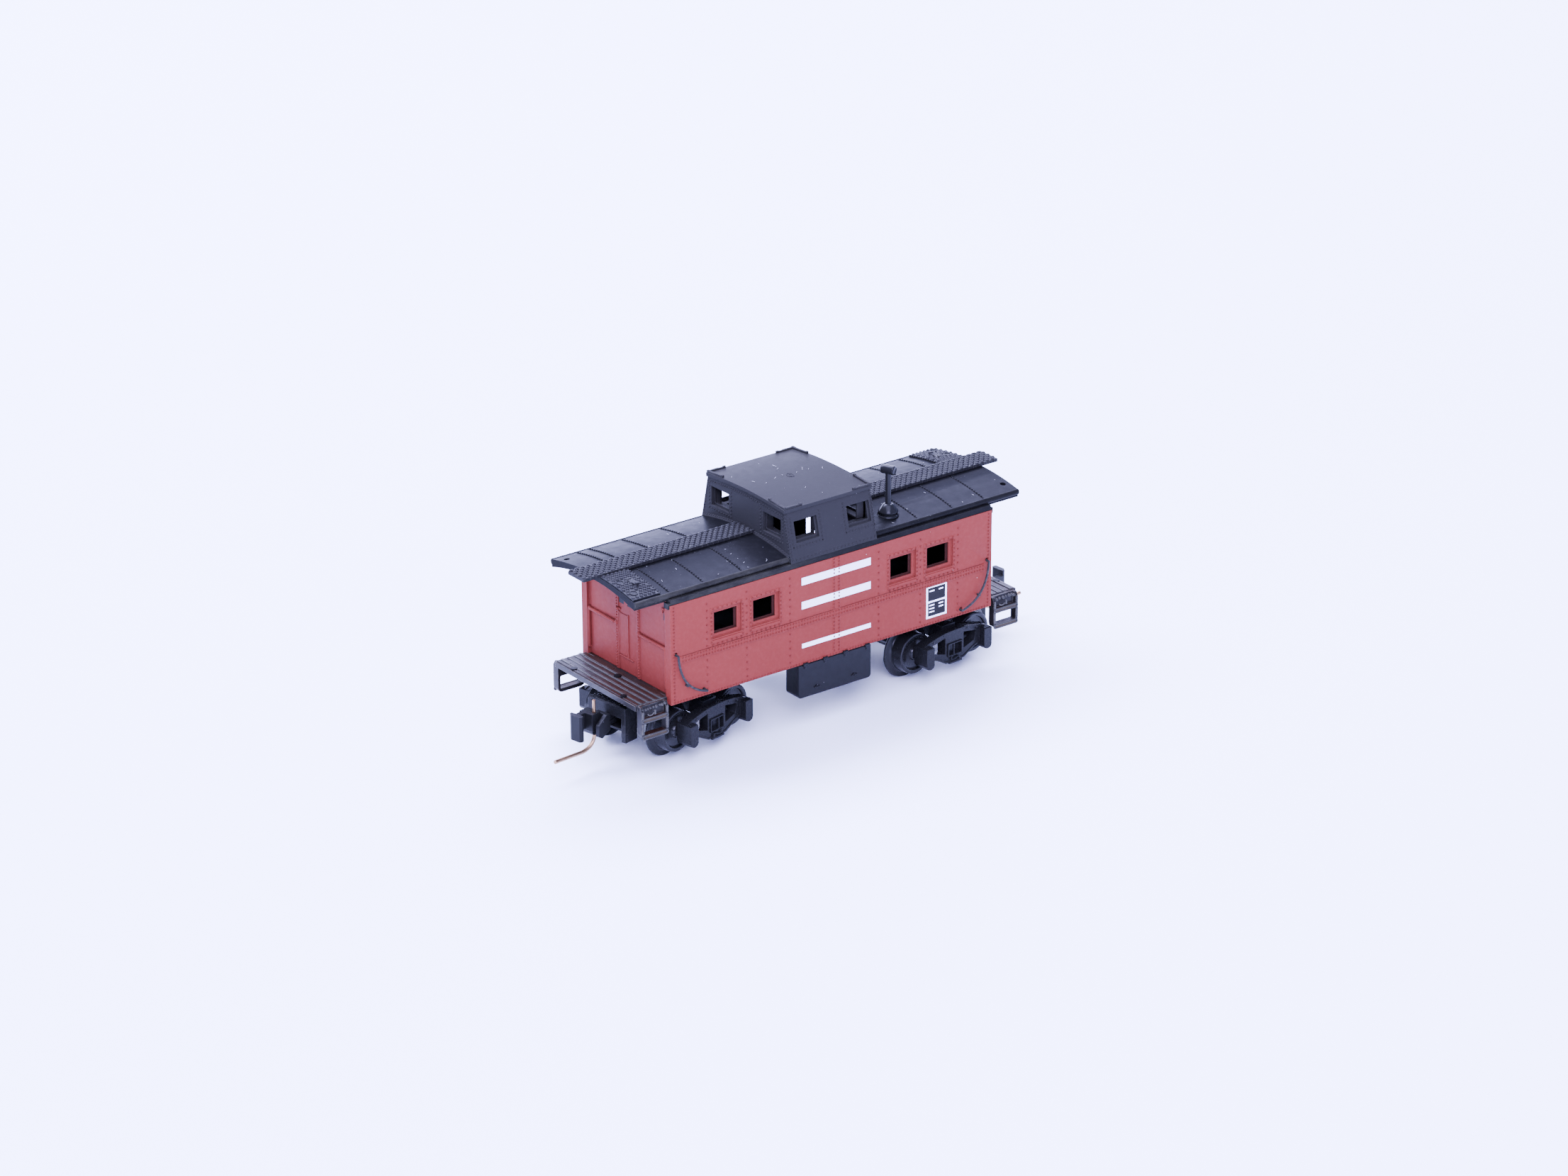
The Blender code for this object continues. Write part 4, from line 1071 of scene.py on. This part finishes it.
def deck_planks():
    """Planks across each platform with low ground between their ridges."""
    made = Shapes()
    across = -DECK_HALF, DECK_HALF
    for end in (-1, 1):
        for a, b in zip(PLANK_RIDGES, PLANK_RIDGES[1:]):
            x0, x1 = end * (a + 0.13), end * (b - 0.13)
            made.block(x0, x1, *across, DECK_TOP - 0.05, DECK_TOP + 0.07)
    return made


def plank_ridges():
    """The rubbed ridges between the planks, each in a few uneven lengths."""
    made = Shapes()
    for end in (-1, 1):
        for place in PLANK_RIDGES[1:-1]:
            y = -DECK_HALF
            while y < DECK_HALF - 0.08:
                far = min(DECK_HALF, y + DICE.uniform(1.6, 4.2))
                middle = place + DICE.uniform(-0.03, 0.03)
                rise = DICE.uniform(0.09, 0.13)
                x0, x1 = end * (middle - 0.10), end * (middle + 0.10)
                made.block(x0, x1, y, far, DECK_TOP - 0.04, DECK_TOP + rise)
                y = far + 0.015
    return made


def deck_socket_shade():
    """Painted shade: the platform's sockets, as near-black wells level with the planks."""
    made = Shapes()
    for end in (-1, 1):
        for x, y, radius in ((21.05, 3.70, 0.31), (21.05, -3.80, 0.31), (18.95, 0.05, 0.36)):
            well = [(radius, 0.0), (radius, 0.135), (radius - 0.04, 0.14)]
            made.spin(well, (end * x, y, DECK_TOP), (0, 0, 1), 20)
    return made


def step_details():
    """Rims, slots and lumps on the outer faces of the steps."""
    made = Shapes()
    for end, side in QUARTERS:
        x0, x1 = sorted(end * x for x in STEP_X)
        y = side * STEP_FACE
        face = y - side * 0.12, y + side * 0.05
        for z in TREADS:
            loop = []
            for turn, middle in ((0.16, x1 - 0.22), (-0.16, x0 + 0.22)):
                loop += arc((middle, y, z), (turn, 0, 0), (0, 0, turn), -90, 90, 6)
            made.tube([*loop, loop[0]], 0.075, 8)
        for x in (x0 + 0.02, x1 - 0.22):
            made.block(x, x + 0.20, *face, 4.10, 5.05)
            made.block(x + 0.02, x + 0.18, *face, 5.55, 6.20)
        made.block(x0 + 1.35, x0 + 1.50, *face, 5.72, 6.12)
        centre = (x0 + 0.98, y - side * 0.02, 5.98)
        made.tube(arc(centre, (0.34, 0, 0), (0, 0, 0.26), 200, 340, 8), 0.06, 6)
        x = x0 + 0.2
        while x < x1 - 0.1:
            spot = (x, y - side * DICE.uniform(0.16, 0.30), 6.34 + DICE.uniform(-0.06, 0.06))
            made.dome(spot, (0, side, 1), DICE.uniform(0.10, 0.17), 0.12)
            x += DICE.uniform(0.22, 0.40)
    return made


def step_grooves():
    """The grimy groove along the face of every tread."""
    made = Shapes()
    for end, side in QUARTERS:
        face = side * (STEP_FACE - 0.10), side * (STEP_FACE + 0.018)
        for z in TREADS:
            made.block(end * 18.60, end * 20.98, *face, z - 0.11, z + 0.11)
    return made


def build_underframe(deck, ridge, grime, dark):
    def step_edge(lowest, highest):
        def chosen(a, b):
            x = abs((a.x + b.x) / 2)
            beside = abs(a.y + b.y) > 12 and 18.3 < x < 21.3
            return along_y(a, b) and beside and lowest < a.z < highest

        return chosen

    rounds = ((step_edge(0, 3.6), 0.42, 4), (step_edge(3.8, 5.7), 0.14, 3))
    softened("underframe", "deck_casting", deck, 0.06, rounds)
    deck_planks().piece("deck_planks", "underframe", deck, 0.03, 30)
    plank_ridges().piece("deck_ridges", "underframe", ridge, 0.05, 30, 3)
    deck_socket_shade().piece("deck_socket_shade", "underframe", dark, 0, 40)
    step_details().piece("step_details", "underframe", ridge, 0, 50)
    step_grooves().piece("step_grooves", "underframe", grime, 0.02)


def build_toolboxes(paint):
    for name, side in SIDES:
        node = f"toolbox_{name}"
        lowest, highest = low(node), high(node)

        def lower_corner(a, b):
            outer = abs(abs(a.x) - highest.x) < 0.05
            return along_y(a, b) and a.z < lowest.z + 0.05 and outer

        softened(node, f"{node}_case", paint, 0.09, ((lower_corner, 0.34, 4),))
        made = Shapes()
        y = side * max(abs(lowest.y), abs(highest.y))
        top = highest.z

        def slab(x0, x1, inner, outer, z0, z1):
            made.block(x0, x1, y - side * inner, y + side * outer, z0, z1)

        for x in (-3.35, -1.12, 1.15, 3.62):
            slab(x - 0.26, x + 0.26, 0.10, 0.13, top - 0.34, top - 0.05)
            slab(x - 0.12, x + 0.12, 0.05, 0.06, top - 0.62, top - 0.30)
            made.tube([(x + dx, y + side * 0.10, top - 0.10) for dx in (-0.20, 0.20)], 0.10, 10)
        for x in (-2.05, 2.15):
            slab(x - 0.32, x + 0.34, 0.05, 0.10, 3.42, 3.54)
            slab(x - 0.14, x + 0.06, 0.05, 0.10, 3.36, 3.64)
        made.piece(f"{node}_fittings", "toolbox", paint, 0.03)


# ---------------------------------------------------------------- trucks


def truck_matrix(name):
    """From the truck's own frame (local +X out of the car's end) to the car's, in mm."""
    joints = {joint["name"]: joint for joint in frame["joints"]}
    pin = Vector(joints[f"{name}_truck_swivel"]["pos_m"]) / MM
    across = Vector(joints[f"{name}_outer_wheels_roll"]["axis"]).normalized()
    up = Vector((0, 0, 1))
    along = across.cross(up)
    turn = Matrix((along, across, up)).transposed().to_4x4()
    return Matrix.Translation((pin.x, pin.y, 0)) @ turn


AXLE_X = 3.635
AXLE_Z = 2.63
FRAME_FACE = 6.02


def wheelset(name, which, where, gloss):
    made = Shapes()
    half = [(0.10, 5.58), (0.27, 5.46), (0.27, 4.80), (0.46, 4.78), (0.58, 4.70), (0.66, 4.52)]
    half += [(0.92, 4.44), (1.38, 4.42), (1.50, 4.50), (1.55, 4.70), (1.60, 4.74), (1.86, 4.74)]
    half += [(1.92, 4.70), (1.94, 4.62), (1.965, 3.62), (2.02, 3.50), (2.20, 3.40), (2.52, 3.37)]
    half += [(2.60, 3.34), (2.63, 3.27), (2.61, 3.16), (2.55, 3.11), (1.9, 3.10), (1.7, 3.16)]
    half += [(1.0, 3.16), (0.6, 3.10), (0.42, 2.9)]
    profile = half + [(radius, -y) for radius, y in half[::-1]]
    x = AXLE_X if which == "outer" else -AXLE_X
    made.spin(profile, (x, 0, AXLE_Z), (0, 1, 0), 72)
    body = f"{name}_{which}_wheels"
    piece = made.truck_piece(where, f"{body}_turned", "wheelset", gloss, 0, 42, body)
    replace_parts(piece, f"{name}_{which}_wheelset")


def frame_details(name, where, black):
    """Chord ribs, spring pockets, their brackets and the bolts of one truck."""
    made = Shapes()
    upper = [(-4.0, 3.66), (-3.20, 3.98), (-2.2, 4.20), (-1.2, 4.34), (0, 4.38)]
    upper += [(-x, z) for x, z in upper[-2::-1]]
    lower = [(-3.15, 2.22), (-2.3, 1.93), (-1.15, 1.30), (1.15, 1.30), (2.3, 1.93), (3.15, 2.22)]
    hook = [(-0.50, 1.86), (-0.50, 1.56), (-0.20, 1.50), (0.10, 1.62), (0.42, 1.66)]
    hook += [(0.55, 1.48), (0.50, 1.30)]
    for side in (-1, 1):

        def proud(rise):
            return side * (FRAME_FACE + rise)

        for chord, under, over in ((upper, 0.24, 0.0), (lower, 0.0, 0.16)):
            for (xa, za), (xb, zb) in zip(chord, chord[1:]):
                corners = [(xa, za - under), (xb, zb - under), (xb, zb + over), (xa, za + over)]
                made.prism([(x, proud(-0.10), z) for x, z in corners], (0, side * 0.18, 0))
        for x0, x1, z0, z1 in (
            (-0.90, 0.90, 3.04, 3.15),
            (-0.90, 0.90, 1.88, 1.99),
            (-0.90, -0.79, 1.88, 3.15),
            (0.79, 0.90, 1.88, 3.15),
            (-0.22, -0.12, 1.90, 3.10),
        ):
            made.block(x0, x1, proud(-0.06), proud(0.14), z0, z1)
        made.block(-0.78, 0.78, proud(-0.3), proud(0.20), 1.18, 1.36)
        made.tube([(x, proud(0.12), z) for x, z in hook], 0.085, 8)
        for end in (-1, 1):
            made.dome((end * 2.75, proud(0.04), 3.86), (0, side, 0), 0.15, 0.13, 8)
            made.dome((end * 1.45, proud(0.04), 4.10), (0, side, 0), 0.11, 0.10, 8)
            x = end * AXLE_X
            made.block(x - 0.36, x + 0.36, proud(0.05), side * 6.66, 3.64, 3.70)
    body = f"{name}_truck"
    made.truck_piece(where, f"{name}_frame_details", "truck_frame", black, 0.03, 35, body)


def coupler_box_details(name, where, black):
    made = Shapes()
    made.block(6.3, 7.62, -1.5, 1.5, 5.36, 5.46)
    for side in (-1, 1):
        made.block(7.60, 7.76, side * 1.72, side * 2.20, 2.12, 5.30)
        made.dome((7.0, side * 1.5, 5.44), (0, 0, 1), 0.22, 0.14, 12)
    body = f"{name}_truck"
    made.truck_piece(where, f"{name}_box_details", "truck_frame", black, 0.035, 35, body)


def trip_pin(name, where, copper):
    """Bare wire: crimped flat on top, straight through the head, then swept out low."""
    y = -0.10
    a, b, c = Vector((9.25, y, 3.0)), Vector((9.30, y, 1.74)), Vector((10.9, y, 1.72))
    path = line((9.25, y, 6.16), a, 12)[:-1] + curve(a, b, c, 16)[:-1]
    path += line(c, (14.33, y, 2.0), 8)

    def crimp(t):
        if t < 0.14:
            return 1.0 + 0.35 * math.sin(math.pi * (0.14 - t) / 0.14), 0.82
        return 1.0, 1.0

    made = Shapes()
    made.tube(path, 0.178, 20, crimp)
    body = f"{name}_knuckle"
    piece = made.truck_piece(where, f"{name}_trip_wire", "trip_pin", copper, 0, 50, body)
    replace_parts(piece, f"{name}_trip_pin")


def build_truck(name, paints):
    where = truck_matrix(name)
    inverse = where.inverted()

    def journal_corner(a, b):
        a, b = inverse @ a, inverse @ b
        beside = abs(abs(abs(a.x) - AXLE_X) - 0.47) < 0.03
        return along_y(a, b) and beside and a.z < 1.7 and max(abs(a.y), abs(b.y)) > 6.6

    rounds = ((journal_corner, 0.36, 2),)
    softened(f"{name}_truck_frame", f"{name}_truck_casting", paints["truck"], 0.07, rounds)
    frame_details(name, where, paints["truck"])
    coupler_box_details(name, where, paints["truck"])
    softened(f"{name}_coupler_guard_half", f"{name}_guard_arm", paints["coupler"], 0.06)
    softened(f"{name}_coupler_knuckle_half", f"{name}_knuckle_arm", paints["coupler"], 0.08)
    for which in ("outer", "inner"):
        wheelset(name, which, where, paints["wheel"])
    trip_pin(name, where, paints["copper"])
    repaint(f"{name}_coupler_lid", paints["coupler"])
    repaint(f"{name}_coupler_spring", paints["steel"])
    repaint(f"{name}_kingpin", paints["steel"])


# ---------------------------------------------------------------- handrails and lint


def build_handrails(wire):
    """Bent wires with one small standoff each."""
    for (name, end), (face, side) in [(e, s) for e in ENDS for s in SIDES]:
        out = side * RAIL_FACE
        bent = out - side * 0.12
        inside = side * (SIDE - 0.40)
        top, bend, foot = (17.44, out, 10.64), (17.24, out, 7.26), (14.36, out, 6.58)
        path = [(17.44, inside, 10.64), (17.44, bent, 10.64), *curve(top, bend, foot, 24)]
        path += [(14.36, bent, 6.58), (14.36, inside, 6.58)]
        made = Shapes()
        made.tube([(end * x, y, z) for x, y, z in path], 0.105, 12)
        made.tube([(end * 16.42, y, 7.56) for y in (inside + side * 0.2, out)], 0.11, 8)
        piece = made.piece(f"handrail_wire_{name}_{face}", "handrail", wire, 0, 50)
        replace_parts(piece, f"handrail_{name}_{face}")


def lint_hairs(material):
    """A few short curled fibres that lie on the roof and the cupola."""
    made = Shapes()
    places = []
    for _ in range(16):
        x = DICE.uniform(-4.2, 4.2)
        y = DICE.uniform(-4.8, 4.8)
        places.append((x, y, cupola_crown(y) + 0.03))
    for _ in range(26):
        x = DICE.choice((-1, 1)) * DICE.uniform(5.6, 18.0)
        y = DICE.choice((-1, 1)) * DICE.uniform(1.6, 6.0)
        places.append((x, y, roof_z(y) + 0.02))
    for x, y, z in places:
        heading = DICE.uniform(0, 2 * math.pi)
        curl = DICE.uniform(-2.5, 2.5)
        length = DICE.uniform(0.08, 0.28)
        path = []
        here = Vector((x, y, z))
        for _ in range(6):
            path.append(here.copy())
            here += Vector((math.cos(heading), math.sin(heading), 0)) * length / 5
            here.z += 0.012
            heading += curl / 5
        made.tube(path, 0.011, 5)
    made.piece("lint_hairs", "roof", material, 0, 60)


def main():
    make_camera()
    make_stage()
    red = red_paint("oxide_red")
    # A darker copy of the red for the rivet heads: painted shade that makes the rivets stand out.
    rivet_shaded_red = red_paint("rivet_shaded_red", 0.76)
    dark, light = (0.0034, 0.0034, 0.0035), (0.0052, 0.0051, 0.0053)
    roof = roof_paint("roof_satin", dark, light, pale_eave_band=True, specular=0.017)
    dark, light = (0.0165, 0.0160, 0.0150), (0.0210, 0.0204, 0.0191)
    cupola = roof_paint("cupola_satin", dark, light, specular=0.009)
    dark, light = (0.0110, 0.0107, 0.0108), (0.0155, 0.0151, 0.0152)
    board = roof_paint("board_satin", dark, light, edge_gain=0.9)
    toolbox = gloss_black("toolbox_black", 0.36, 0.52, (0.0022, 0.0021, 0.0020), 0.25, 0.12)
    gloss = gloss_black("jack_gloss", 0.16, 0.28)
    paints = {
        "truck": gloss_black("truck_black"),
        "coupler": gloss_black("coupler_black", 0.28, 0.42, (0.0042, 0.0042, 0.0040), 0.3, 0.08),
        "wheel": gloss_black("wheel_black", 0.18, 0.30, (0.0060, 0.0060, 0.0056), 0.2, 0.16),
        "copper": metal("copper_wire", (0.30, 0.175, 0.085), (0.42, 0.27, 0.15), 0.30, 0.48),
        "steel": metal("plain_steel", (0.16, 0.16, 0.14), (0.26, 0.26, 0.22), 0.25, 0.42),
    }
    deck = deck_paint("deck_black", (0.0060, 0.0055, 0.0050), (0.014, 0.012, 0.010))
    grime = deck_paint("tread_grime", (0.016, 0.011, 0.005), (0.050, 0.036, 0.015), 0.1)
    ridge = deck_paint("deck_ridge", (0.020, 0.020, 0.017), (0.045, 0.044, 0.037), 0.25)
    # Near black for painted shade: the door windows, lamp grab hollows, roof and deck sockets and
    # the hidden weight.
    shade_black = black_ink("painted_shade_black", (0.0008, 0.0008, 0.0008), (0.0016, 0.0016, 0.0016))
    build_body(red, rivet_shaded_red, shade_black)
    black = black_ink("black_ink", (0.004, 0.004, 0.004), (0.010, 0.009, 0.009))
    plain_markings(white_ink(), black)
    build_roof(roof, board, shade_black)
    build_cupola(cupola)
    build_smoke_jack(gloss)
    build_underframe(deck, ridge, grime, shade_black)
    build_toolboxes(toolbox)
    build_handrails(wire_paint())
    for name in ("left", "right"):
        build_truck(name, paints)
    # The hidden weight takes the near-black painted shade.
    repaint("weight", shade_black)
    lint_hairs(lint())


main()
